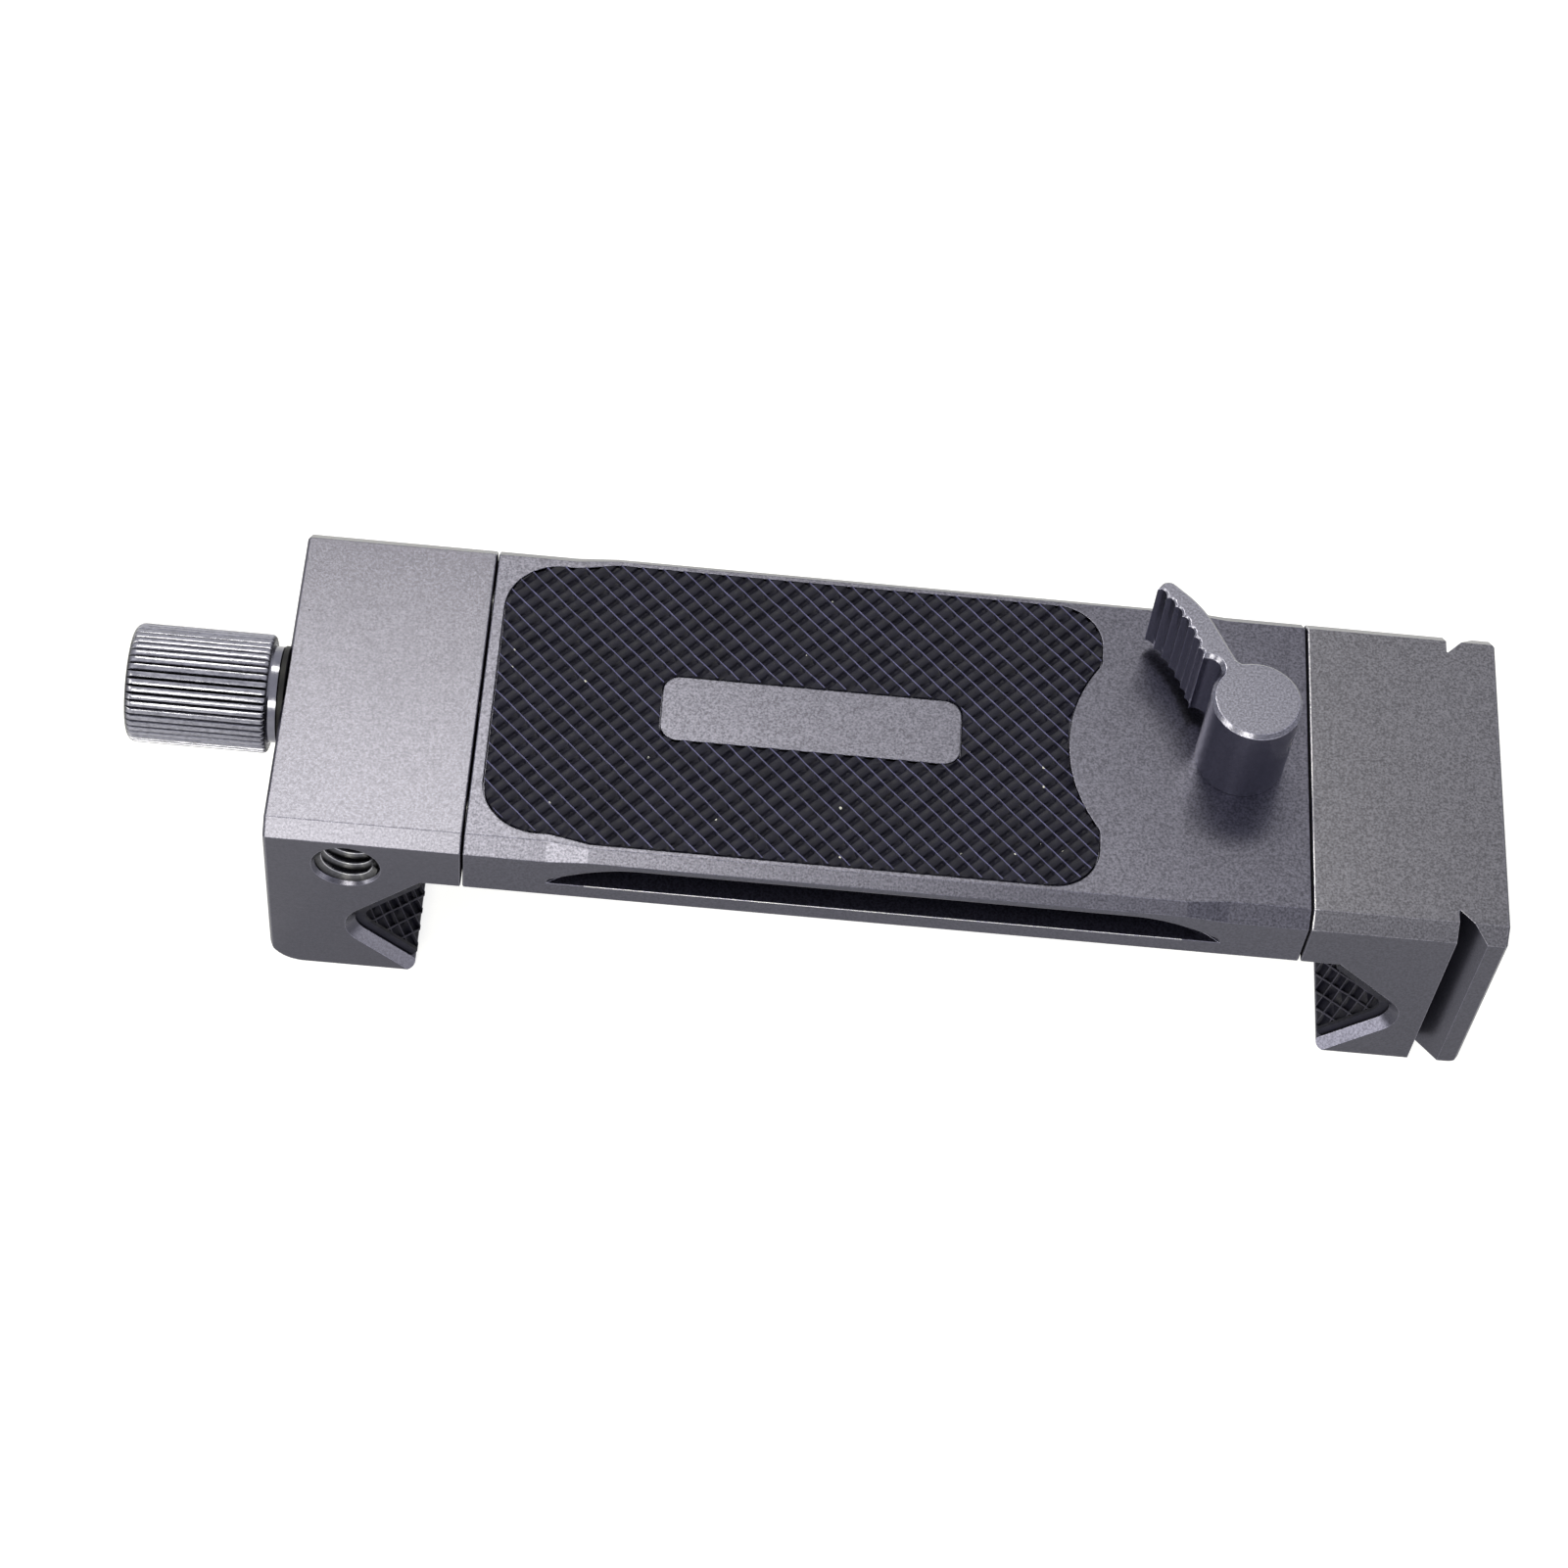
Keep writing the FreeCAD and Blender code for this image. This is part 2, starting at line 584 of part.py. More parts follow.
def stop_places():
    return [
        (BODY_LEFT + STOP_FROM_END, -LEFT_ROD_SPACING / 2),
        (BODY_RIGHT - STOP_FROM_END, -RIGHT_ROD_SPACING / 2),
    ]


def slotted_rods():
    """The two front rods, with the slots that limit the jaws' travel."""
    (left_x, left_y), (right_x, right_y) = stop_places()
    left = left_rod(-1).cut(stop_slot(left_x, left_x + LEFT_TRAVEL, left_y))
    right = right_rod(-1).cut(stop_slot(right_x - RIGHT_TRAVEL, right_x, right_y))
    return left, right


def stop_screws(extra):
    """Two grub screws in the underside; extra lengthens them into drills."""
    low = UNDERSIDE + STOP_SUNK
    screws = []
    for x, y in stop_places():
        screw = rod(STOP_RADIUS, x, y, low - extra, Z_AXIS, STOP_LENGTH + extra)
        screws.append(screw if extra else screw.cut(hexagon_socket(x, y, low)))
    return screws


def hexagon_socket(x, y, mouth_z):
    corners = []
    for i in range(6):
        angle = math.radians(60 * i)
        corner = vec(DRIVE_RADIUS * math.cos(angle), DRIVE_RADIUS * math.sin(angle), -OVER)
        corners.append(vec(x, y, mouth_z) + corner)
    return Part.Face(Part.makePolygon(corners + [corners[0]])).extrude(vec(0, 0, OVER + DRIVE_DEPTH))


def retaining_pins(extra):
    """Two dowels that sit in the screw's neck and hold it in the left jaw."""
    x = LEFT_FACE + LEFT_JAW_LENGTH - RETAINER_FROM_SEAM
    offset = RETAINER_GROOVE_RADIUS + RETAINER_CLEARANCE + RETAINER_RADIUS
    low = UNDERSIDE + STOP_SUNK
    return [rod(RETAINER_RADIUS, x, side * offset, low - extra, Z_AXIS, RETAINER_LENGTH + extra)
            for side in (-1, 1)]


def adjust_screw():
    start = LEFT_FACE - WASHER_THICKNESS - SCREW_IN_KNOB
    shape = rod(SCREW_RADIUS, start, 0, SCREW_Z, X_AXIS, BODY_LEFT + SCREW_REACH - start)
    neck_x = LEFT_FACE + LEFT_JAW_LENGTH - RETAINER_FROM_SEAM
    half = RETAINER_RADIUS + RETAINER_CLEARANCE
    ring = rod(SCREW_RADIUS + OVER, neck_x - half, 0, SCREW_Z, X_AXIS, 2 * half)
    ring = ring.cut(rod(RETAINER_GROOVE_RADIUS, neck_x - half, 0, SCREW_Z, X_AXIS, 2 * half))
    return shape.cut(ring)


def knob_washer():
    washer = rod(WASHER_RADIUS, LEFT_FACE - WASHER_THICKNESS, 0, SCREW_Z, X_AXIS, WASHER_THICKNESS)
    return washer.cut(rod(SCREW_RADIUS + SCREW_CLEARANCE, LEFT_FACE - OVER, 0, SCREW_Z, X_AXIS, 2 * OVER))


def rib_ring(x, crest_radius):
    """The knob's ribbed section at a place along it, as a ring of points."""
    points = []
    pitch = 2 * math.pi / KNOB_RIBS
    root_share = 1 - KNOB_RIB_DEPTH / KNOB_RADIUS
    for i in range(KNOB_RIBS):
        for shift, share in ((-KNOB_RIB_LAND / 2, 1), (KNOB_RIB_LAND / 2, 1), (0.5, root_share)):
            angle = (i + shift) * pitch
            radius = crest_radius * share
            points.append(vec(x, radius * math.cos(angle), SCREW_Z + radius * math.sin(angle)))
    return points


def knob():
    """A turned knob with straight ribs, a groove and a plain collar at the jaw's side."""
    end = LEFT_FACE - WASHER_THICKNESS - SCREW_CLEARANCE
    collar = end - COLLAR_WIDTH
    ribs_end = collar - KNOB_GROOVE_WIDTH
    far = LEFT_FACE - KNOB_REACH
    ribs = faceted([
        rib_ring(far, KNOB_RADIUS - KNOB_BEVEL),
        rib_ring(far + KNOB_BEVEL, KNOB_RADIUS),
        rib_ring(ribs_end, KNOB_RADIUS),
    ])
    neck = revolved([
        (ribs_end - KNOB_GROOVE_WIDTH, 0),
        (ribs_end - KNOB_GROOVE_WIDTH, KNOB_GROOVE_RADIUS),
        (collar, KNOB_GROOVE_RADIUS),
        (collar, COLLAR_RADIUS),
        (end, COLLAR_RADIUS),
        (end, 0),
    ])
    dish = Part.makeCone(KNOB_DISH_RADIUS, KNOB_DISH_RADIUS - KNOB_DISH_DEPTH, KNOB_DISH_DEPTH,
                         vec(far, 0, SCREW_Z), X_AXIS)
    hole = rod(SCREW_RADIUS, LEFT_FACE - WASHER_THICKNESS - SCREW_IN_KNOB, 0, SCREW_Z, X_AXIS,
               SCREW_IN_KNOB + OVER)
    return ribs.fuse(neck).cut(dish).cut(hole)


# Cam lever and its brake

def lever_point(x, y, z):
    return vec(LEVER_X + x, y, z)


def lever():
    """A round hub with a tall flat arm, whose hollow side is scalloped for the finger."""
    bottom = TOP + ARM_GAP
    top = TOP + HUB_HEIGHT
    arm = prism(ARM_CORNERS, lambda u, v: lever_point(u, v, bottom), vec(0, 0, top - bottom))
    hollows = [(GRIP_ARC_RADIUS, GRIP_ARC_X, GRIP_ARC_Y), (NECK_HOLLOW_RADIUS, NECK_HOLLOW_X, NECK_HOLLOW_Y)]
    for radius, x, y in hollows:
        arm = arm.cut(rod(radius, LEVER_X + x, y, bottom - OVER, Z_AXIS, HUB_HEIGHT + OVER))
    hub = rod(HUB_RADIUS, LEVER_X, 0, TOP + HUB_GAP, Z_AXIS, HUB_HEIGHT - HUB_GAP)
    shape = hub.fuse(arm).removeSplitter()
    upright = [edge for edge in shape.Edges if near(edge.BoundBox.ZLength, top - bottom)]
    root = [edge for edge in upright if near(edge.BoundBox.DiagonalLength, top - bottom)]
    root = [max(root, key=lambda edge: edge.Vertexes[0].Point.x)]
    shape = shape.makeFillet(ARM_ROOT_RADIUS, root)
    shape = shape.makeChamfer(HUB_BEVEL, edges_where(shape, lambda p: near(p.z, top)))
    for i in range(GRIP_SCALLOPS):
        angle = math.radians(GRIP_START + GRIP_STEP * (i + 0.5))
        reach = GRIP_ARC_RADIUS - SCALLOP_RADIUS + SCALLOP_DEPTH
        x = GRIP_ARC_X + reach * math.cos(angle)
        y = GRIP_ARC_Y + reach * math.sin(angle)
        groove = rod(SCALLOP_RADIUS, LEVER_X + x, y, bottom - OVER, Z_AXIS, HUB_HEIGHT)
        mouth = Part.makeCone(SCALLOP_RADIUS, SCALLOP_RADIUS + SCALLOP_BEVEL, SCALLOP_BEVEL,
                              lever_point(x, y, top - SCALLOP_BEVEL), Z_AXIS)
        shape = shape.cut(groove).cut(mouth)
    return shape.cut(rod(JOURNAL_RADIUS, LEVER_X, 0, TOP, Z_AXIS, STEM_LENGTH + HUB_GAP))


def cam_shaft():
    """The lever's steel shaft, with an oval cam between two round bearings."""
    cam_top = ROD_Z + CAM_HALF_HEIGHT
    cam_bottom = ROD_Z - CAM_HALF_HEIGHT
    journal = rod(JOURNAL_RADIUS, LEVER_X, 0, cam_top, Z_AXIS, TOP + HUB_GAP + STEM_LENGTH - cam_top)
    oval = Part.Ellipse(lever_point(0, 0, cam_bottom), CAM_LONG_RADIUS, CAM_SHORT_RADIUS).toShape()
    oval.rotate(lever_point(0, 0, cam_bottom), Z_AXIS, 90)
    cam = Part.Face(Part.Wire([oval])).extrude(vec(0, 0, cam_top - cam_bottom))
    foot = rod(FOOT_RADIUS, LEVER_X, 0, FOOT_END, Z_AXIS, cam_bottom - FOOT_END)
    shape = journal.fuse([cam, foot])
    tapped = rod(LEVER_SCREW_RADIUS, LEVER_X, 0, FOOT_END, Z_AXIS, LEVER_SCREW_LENGTH)
    return shape.cut(tapped)


def lever_washer():
    washer = rod(KEEPER_RADIUS, LEVER_X, 0, FOOT_END - KEEPER_THICKNESS, Z_AXIS, KEEPER_THICKNESS)
    hole_radius = LEVER_SCREW_RADIUS + SHAFT_CLEARANCE
    return washer.cut(rod(hole_radius, LEVER_X, 0, FOOT_END - OVER, Z_AXIS, 2 * OVER))


def lever_screw():
    seat = FOOT_END - KEEPER_THICKNESS
    head = rod(LEVER_SCREW_HEAD_RADIUS, LEVER_X, 0, seat - LEVER_SCREW_HEAD, Z_AXIS, LEVER_SCREW_HEAD)
    shank = rod(LEVER_SCREW_RADIUS, LEVER_X, 0, seat, Z_AXIS, KEEPER_THICKNESS + LEVER_SCREW_LENGTH)
    return head.fuse(shank).cut(hexagon_socket(LEVER_X, 0, seat - LEVER_SCREW_HEAD))


def brake_shoe(side):
    """A brass block, flat against the cam and hollow against its rod."""
    inner = CAM_LONG_RADIUS + SHAFT_CLEARANCE
    rod_y = RIGHT_ROD_SPACING / 2
    outer = rod_y - math.sqrt(BORE_RADIUS ** 2 - (SHOE_HEIGHT / 2) ** 2)
    y_range = (inner, outer) if side > 0 else (-outer, -inner)
    shape = box((LEVER_X - SHOE_LENGTH / 2, LEVER_X + SHOE_LENGTH / 2), y_range,
                (ROD_Z - SHOE_HEIGHT / 2, ROD_Z + SHOE_HEIGHT / 2))
    return shape.cut(rod(BORE_RADIUS, LEVER_X - SHOE_LENGTH, side * rod_y, ROD_Z, X_AXIS, 2 * SHOE_LENGTH))


PARTS = {
    "body": body(),
    "back_pad": back_pad(),
    "left_jaw": left_jaw(),
    "left_jaw_pad": jaw_pad(left_place),
    "left_rod_front": slotted_rods()[0],
    "left_rod_back": left_rod(1),
    "knob": knob(),
    "knob_washer": knob_washer(),
    "adjust_screw": adjust_screw(),
    "screw_retaining_pins": Part.makeCompound(retaining_pins(0)),
    "right_jaw": right_jaw(),
    "right_jaw_pad": jaw_pad(right_place),
    "right_rod_front": slotted_rods()[1],
    "right_rod_back": right_rod(1),
    "rod_stop_screws": Part.makeCompound(stop_screws(0)),
    "lever": lever(),
    "cam_shaft": cam_shaft(),
    "lever_washer": lever_washer(),
    "lever_screw": lever_screw(),
    "brake_shoe_front": brake_shoe(-1),
    "brake_shoe_back": brake_shoe(1),
}

os.makedirs("parts", exist_ok=True)
for name, shape in PARTS.items():
    if not shape.isValid():
        print("not valid:", name)
    shape.exportStep("parts/" + name + ".step")
    print(f"{name}: {len(shape.Solids)} solid, {shape.Volume:.1f} mm3")
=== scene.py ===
import json
import math

import bmesh
import bpy
from mathutils import Matrix, Vector, noise


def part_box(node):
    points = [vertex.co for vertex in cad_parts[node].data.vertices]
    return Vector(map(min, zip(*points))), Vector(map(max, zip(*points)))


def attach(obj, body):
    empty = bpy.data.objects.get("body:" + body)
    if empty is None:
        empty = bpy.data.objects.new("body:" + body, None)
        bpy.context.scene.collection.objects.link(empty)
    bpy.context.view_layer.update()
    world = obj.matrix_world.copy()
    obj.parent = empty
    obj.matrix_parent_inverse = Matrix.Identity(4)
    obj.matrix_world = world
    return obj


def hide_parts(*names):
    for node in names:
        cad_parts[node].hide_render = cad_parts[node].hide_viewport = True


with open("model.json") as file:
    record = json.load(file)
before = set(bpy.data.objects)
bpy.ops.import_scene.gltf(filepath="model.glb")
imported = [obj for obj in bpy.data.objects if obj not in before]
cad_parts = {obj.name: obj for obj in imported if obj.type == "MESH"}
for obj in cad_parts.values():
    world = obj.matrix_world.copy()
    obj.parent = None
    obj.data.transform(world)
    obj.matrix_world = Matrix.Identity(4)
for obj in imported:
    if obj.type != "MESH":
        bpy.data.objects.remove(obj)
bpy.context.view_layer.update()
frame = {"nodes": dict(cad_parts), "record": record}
NODES = frame["nodes"]
MOUNTS = {mount["name"]: mount for mount in frame["record"]["mounts"]}
MM = 0.001

# Camera, as the photograph was taken
CAMERA_PLACE = Vector((-14.35, -216.54, 340.18)) * MM
CAMERA_AZIMUTH = 3.052         # degrees, turned from +Y towards +X
CAMERA_ELEVATION = 56.471      # degrees, looking down
CAMERA_ROLL = 7.679            # degrees
CAMERA_LENS = 85.504
SENSOR_WIDTH = 36.0

# Rubber pads
BACK_PITCH = 1.56 * MM
BACK_DEPTH = 0.50 * MM
BACK_LINE_AT = -8.96 * MM      # x + y of one ridge, seen from above
JAW_PITCH = 1.5 * MM
JAW_DEPTH = 0.42 * MM
JAW_RIM = 0.35 * MM
JAW_PAD_CENTRE_Z = 8.1 * MM    # of the arc between the pad's two slopes
JAW_PAD_BACK_RADIUS = 3.0 * MM
JAW_PAD_THICKNESS = 1.0 * MM
JAW_PAD_END = 1.2 * MM         # of each slope, left out of the pattern
CREST_DROP = 0.03 * MM         # how far the ridges lie below the smooth edge
TILE_SHARE = 0.66              # height of the tiles between ridges, as a share of the depth
CROSS_SHARE = 0.88             # height of the jaw pads' cross ridges, likewise
# Shares of the pitch: half widths of a ridge at its crest, at the tiles' level and at the bottom, and
# the places along a ridge where a tile ends, its groove's floor starts and ends, and the next tile starts
CREST_HALF = 0.025
RIDGE_HALF = 0.060
WALL_HALF = 0.10
TILE_PLACES = (0.0, 0.05, 0.38, 0.50)
HIGHLIGHT_SHARE = 0.6               # of a ridge's height that gets a painted highlight
# how much paler the ridges' top band is painted, as a painted highlight
HIGHLIGHT_PALER = 13.0
WAVE = 0.07 * MM
WAVE_SEED = 5
CUTTER_OVER = 0.4 * MM
CARVE_ATTEMPTS = 6
CARVE_SHIFT = 0.0007 * MM
RUBBER_SMOOTH_DEGREES = 28
RUBBER_BLACK = (0.0082, 0.0080, 0.0172)
# Paler colour of the pads' ridge tops: a painted highlight
CREST_HIGHLIGHT_GREY = (0.054, 0.052, 0.080)
LINT_GREY = (0.7, 0.7, 0.68, 1)

# Aluminium
JAW_GREY = (0.073, 0.072, 0.094)
# Paler colour painted on the right jaw's top faces: painted light
JAW_TOP_PAINTED_LIGHT = (0.117, 0.115, 0.136)
BODY_GREY = (0.075, 0.074, 0.098)
LEVER_GREY = (0.146, 0.145, 0.184)
# Painted shade in the narrow seams between jaws and body
SEAM_SHADE_GREY = (0.040, 0.040, 0.050, 1)
SEAM_REACH = 0.15 * MM
EDGE_RADIUS = 0.14 * MM
EDGE_COSINES = (0.99, 0.90)    # of the angle between the rounded and the flat direction, off and on an edge
EDGE_HIGHLIGHT_PALER = 2.8               # how much paler the edges are painted, as a painted highlight
BRIGHT_LINE = 5.0              # how much paler still the edges in a painted highlight box are painted
LIP_BELOW_TOP = 5.5 * MM       # lower edge of the dovetail grooves along the body
LIP_FROM_ENDS = 12.3 * MM      # ends of its painted highlight line, from the body's ends
LIP_REACH = 0.4 * MM           # from the lip to the sides of the painted highlight box around it
INNER_EDGE = (0.6 * MM, 1.6 * MM)      # width and depth of the right jaw's edge beside the body that gets a painted highlight
OUTSIDE = 1.0 * MM             # how far a painted highlight box goes past the surface
GRAIN_ON_SIDES = 0.45          # of the grain on the faces towards +Z

# Parts of a surface's direction between which a mask fades in
TILT_FADE = (0.30, 0.45)
NOTCH_RIM_FADE = (-0.60, -0.68)
GRAIN_FADE = (0.2, 0.6)
SIDE_FADE = (0.2, 0.5)
TOP_FADE = (0.5, 0.7)
WALL_TILT = 0.97

# Knob
KNOB_RIBS = 48
KNOB_RIB_DEPTH = 0.36 * MM
KNOB_RIB_LAND = 0.60           # share of a rib's pitch that its crest takes
KNOB_RIB_STEPS = 10
KNOB_DISH = (4.2 * MM, 0.5 * MM)       # radius and depth
KNOB_END_ROUND = ((0, 0.75), (0.12, 0.48), (0.34, 0.22), (0.62, 0.06), (0.9, 0))     # mm along X and inwards
KNOB_INNER_ROUND = ((0.45, 0), (0.22, 0.06), (0.07, 0.20), (0, 0.42))
KNOB_RIB_ROUND = 0.04 * MM
KNOB_NECK_RADIUS = 5.0 * MM
KNOB_NECK_LENGTH = 1.05 * MM
KNOB_NECK_FILLET = 0.15 * MM
KNOB_NECK_BEVEL = 0.12 * MM
KNOB_BORE = 12.0 * MM          # depth of the bore for the screw
KNOB_GREY = (0.30, 0.30, 0.36)
KNOB_CREST = 0.08 * MM         # depth of the crests left without painted shade
KNOB_INSIDE = (0.30 * MM, 0.15 * MM)   # below the ribs' roots, where the painted shade fades out again on the knob's end

# Threads
SOCKET_PITCH = 1.27 * MM
SOCKET_CREST = 2.62 * MM
SOCKET_HALF_WIDTHS = (0.44, 0.07)      # of the ridge at its root and its crest, as shares of the pitch
SOCKET_SINK = 0.02 * MM        # of the ridge's root in the wall
SOCKET_CREST_DEPTH = 0.10 * MM         # of the ridge's crest that gets a painted highlight
THREAD_GREY = (0.10, 0.10, 0.112)
SOCKET_THREAD_START = 0.6 * MM
SOCKET_THREAD_LENGTH = 9.0 * MM
SCREW_PITCH = 0.8 * MM
SCREW_THREAD_DEPTH = 0.42 * MM
SCREW_VALLEY_HALF = 0.42       # half width of the thread's valley, as a share of the pitch
SCREW_GROOVE = (-37.275 * MM, -35.575 * MM)      # its start and end along X, where the pins run
SCREW_GROOVE_RADIUS = 1.7 * MM
SCREW_END_BEVEL = 0.4 * MM
STEPS_A_TURN = 40
STEPS_A_PITCH = 8

# Light
FLOOR_HALF = 3.0               # half the floor's side, in metres
FLOOR_COLOUR = (0.55, 0.55, 0.55, 1)
FLOOR_GLOW = 0.82              # seen by the camera
MIRRORED_GLOW = 0.62           # seen in metal
AMBIENT = 0.42                 # of the white surroundings, on rubber and floor
LAMP_COLOUR = (1.0, 0.98, 0.80)
# name, centre in metres, the way it faces, width and height in metres, brightness in a mirror
SOFTBOXES = [
    ("overhead_softbox_left", (-0.23, 0.55, 1.0), (0, 0, -1), (0.46, 0.24), 14.8),
    ("overhead_softbox_right", (0.10, 0.53, 1.0), (0, 0, -1), (0.20, 0.24), 4.6),
    ("front_softbox", (-0.26, -1.0, 0.66), (0, 1, 0), (0.46, 0.34), 14.0),
    ("left_softbox", (-1.1, -0.6, 0.75), (0.76, 0.41, -0.5), (0.50, 0.40), 9.0),
    ("low_softbox_left", (-0.80, -0.59, 0.05), (0.80, 0.59, 0), (0.30, 0.30), 4.0),
    ("low_softbox_right", (0.80, -0.59, 0.05), (-0.80, 0.59, 0), (0.30, 0.30), 2.0),
]


# Materials

NOISE_RANGE = (0.3, 0.7)       # where most values of a noise texture lie


def new_material(name, roughness, metallic):
    material = bpy.data.materials.new(name)
    material.use_nodes = True
    shader = material.node_tree.nodes["Principled BSDF"]
    shader.inputs["Metallic"].default_value = metallic
    shader.inputs["Roughness"].default_value = roughness
    return material, material.node_tree, shader


def millimetres(tree, stretch=(1, 1, 1)):
    """Object coordinates in millimetres, divided by the stretch along each axis."""
    coordinates = tree.nodes.new("ShaderNodeTexCoord")
    mapping = tree.nodes.new("ShaderNodeMapping")
    mapping.inputs["Scale"].default_value = [1 / (MM * s) for s in stretch]
    tree.links.new(coordinates.outputs["Object"], mapping.inputs["Vector"])
    return mapping.outputs["Vector"]


def noise_value(tree, vector, scale, detail=2.0, roughness=0.5):
    texture = tree.nodes.new("ShaderNodeTexNoise")
    texture.inputs["Scale"].default_value = scale
    texture.inputs["Detail"].default_value = detail
    texture.inputs["Roughness"].default_value = roughness
    tree.links.new(vector, texture.inputs["Vector"])
    return texture.outputs["Fac"]


def remap(tree, value, low, high, to_low, to_high):
    ranged = tree.nodes.new("ShaderNodeMapRange")
    for name, number in (("From Min", low), ("From Max", high), ("To Min", to_low), ("To Max", to_high)):
        ranged.inputs[name].default_value = number
    tree.links.new(value, ranged.inputs["Value"])
    return ranged.outputs["Result"]


def spread(tree, value, low, high):
    """Noise spread over a range."""
    return remap(tree, value, *NOISE_RANGE, low, high)


def maths(tree, operation, first, second=0.0):
    node = tree.nodes.new("ShaderNodeMath")
    node.operation = operation
    for place, value in ((0, first), (1, second)):
        if isinstance(value, (int, float)):
            node.inputs[place].default_value = value
        else:
            tree.links.new(value, node.inputs[place])
    return node.outputs["Value"]


def tinted(tree, colour, factor):
    """A colour multiplied by a value."""
    node = tree.nodes.new("ShaderNodeVectorMath")
    node.operation = "SCALE"
    node.inputs[0].default_value = colour
    tree.links.new(factor, node.inputs["Scale"])
    return node.outputs["Vector"]


def mixed(tree, factor, first, second):
    """Two colours mixed. Inputs 6 and 7 and output 2 of the node are the colour sockets."""
    node = tree.nodes.new("ShaderNodeMix")
    node.data_type = "RGBA"
    tree.links.new(factor, node.inputs["Factor"])
    for place, value in ((6, first), (7, second)):
        if isinstance(value, tuple):
            node.inputs[place].default_value = value
        else:
            tree.links.new(value, node.inputs[place])
    return node.outputs[2]


def bump(tree, shader, height, distance):
    node = tree.nodes.new("ShaderNodeBump")
    node.inputs["Distance"].default_value = distance
    tree.links.new(height, node.inputs["Height"])
    tree.links.new(node.outputs["Normal"], shader.inputs["Normal"])


def specks(tree, vector, scale, size, share):
    """1 inside a few small round specks, 0 elsewhere."""
    cells = tree.nodes.new("ShaderNodeTexVoronoi")
    cells.inputs["Scale"].default_value = scale
    tree.links.new(vector, cells.inputs["Vector"])
    inside = maths(tree, "LESS_THAN", cells.outputs["Distance"], size)
    split = tree.nodes.new("ShaderNodeSeparateColor")
    tree.links.new(cells.outputs["Color"], split.inputs["Color"])
    chosen = maths(tree, "LESS_THAN", split.outputs["Red"], share)
    return maths(tree, "MULTIPLY", inside, chosen)


def soft_edges(tree, shader, height, distance):
    """Rounds the shading over the edges, adds a fine relief, and returns 1 on the edges and 0 elsewhere."""
    bevel = tree.nodes.new("ShaderNodeBevel")
    bevel.samples = 6
    bevel.inputs["Radius"].default_value = EDGE_RADIUS
    relief = tree.nodes.new("ShaderNodeBump")
    relief.inputs["Distance"].default_value = distance
    tree.links.new(height, relief.inputs["Height"])
    tree.links.new(bevel.outputs["Normal"], relief.inputs["Normal"])
    tree.links.new(relief.outputs["Normal"], shader.inputs["Normal"])
    geometry = tree.nodes.new("ShaderNodeNewGeometry")
    likeness = tree.nodes.new("ShaderNodeVectorMath")
    likeness.operation = "DOT_PRODUCT"
    tree.links.new(bevel.outputs["Normal"], likeness.inputs[0])
    tree.links.new(geometry.outputs["Normal"], likeness.inputs[1])
    return remap(tree, likeness.outputs["Value"], *EDGE_COSINES, 0, 1)


def facing_parts(tree):
    """The three parts of the surface's own direction, in the object's space."""
    coordinates = tree.nodes.new("ShaderNodeTexCoord")
    split = tree.nodes.new("ShaderNodeSeparateXYZ")
    tree.links.new(coordinates.outputs["Normal"], split.inputs["Vector"])
    return split.outputs["X"], split.outputs["Y"], split.outputs["Z"]


def place_parts(tree):
    """The three parts of the object's coordinates, in metres."""
    coordinates = tree.nodes.new("ShaderNodeTexCoord")
    split = tree.nodes.new("ShaderNodeSeparateXYZ")
    tree.links.new(coordinates.outputs["Object"], split.inputs["Vector"])
    return split.outputs["X"], split.outputs["Y"], split.outputs["Z"]


def between(tree, value, low, high):
    """1 where a value lies between two numbers, 0 elsewhere."""
    away = maths(tree, "ABSOLUTE", maths(tree, "SUBTRACT", value, (low + high) / 2))
    return maths(tree, "LESS_THAN", away, (high - low) / 2)


def shaded_seam_walls(tree, across):
    """1 on the upright faces where the jaws meet the body, painted dark and dull as painted shade, and 0
    elsewhere.
    """
    x = place_parts(tree)[0]
    near = 0.0
    for seam in SEAMS:
        near = maths(tree, "MAXIMUM", near, between(tree, x, seam - SEAM_REACH, seam + SEAM_REACH))
    flat = maths(tree, "GREATER_THAN", maths(tree, "ABSOLUTE", across), WALL_TILT)
    return maths(tree, "MULTIPLY", near, flat)


def inside_box(tree, low, high):
    """1 inside a box of the object's space and 0 outside. The box is mirrored to the other side of Y = 0."""
    x, y, z = place_parts(tree)
    inside = maths(tree, "MULTIPLY", between(tree, x, low.x, high.x), between(tree, z, low.z, high.z))
    y = maths(tree, "ABSOLUTE", y)
    return maths(tree, "MULTIPLY", inside, between(tree, y, low.y, high.y))


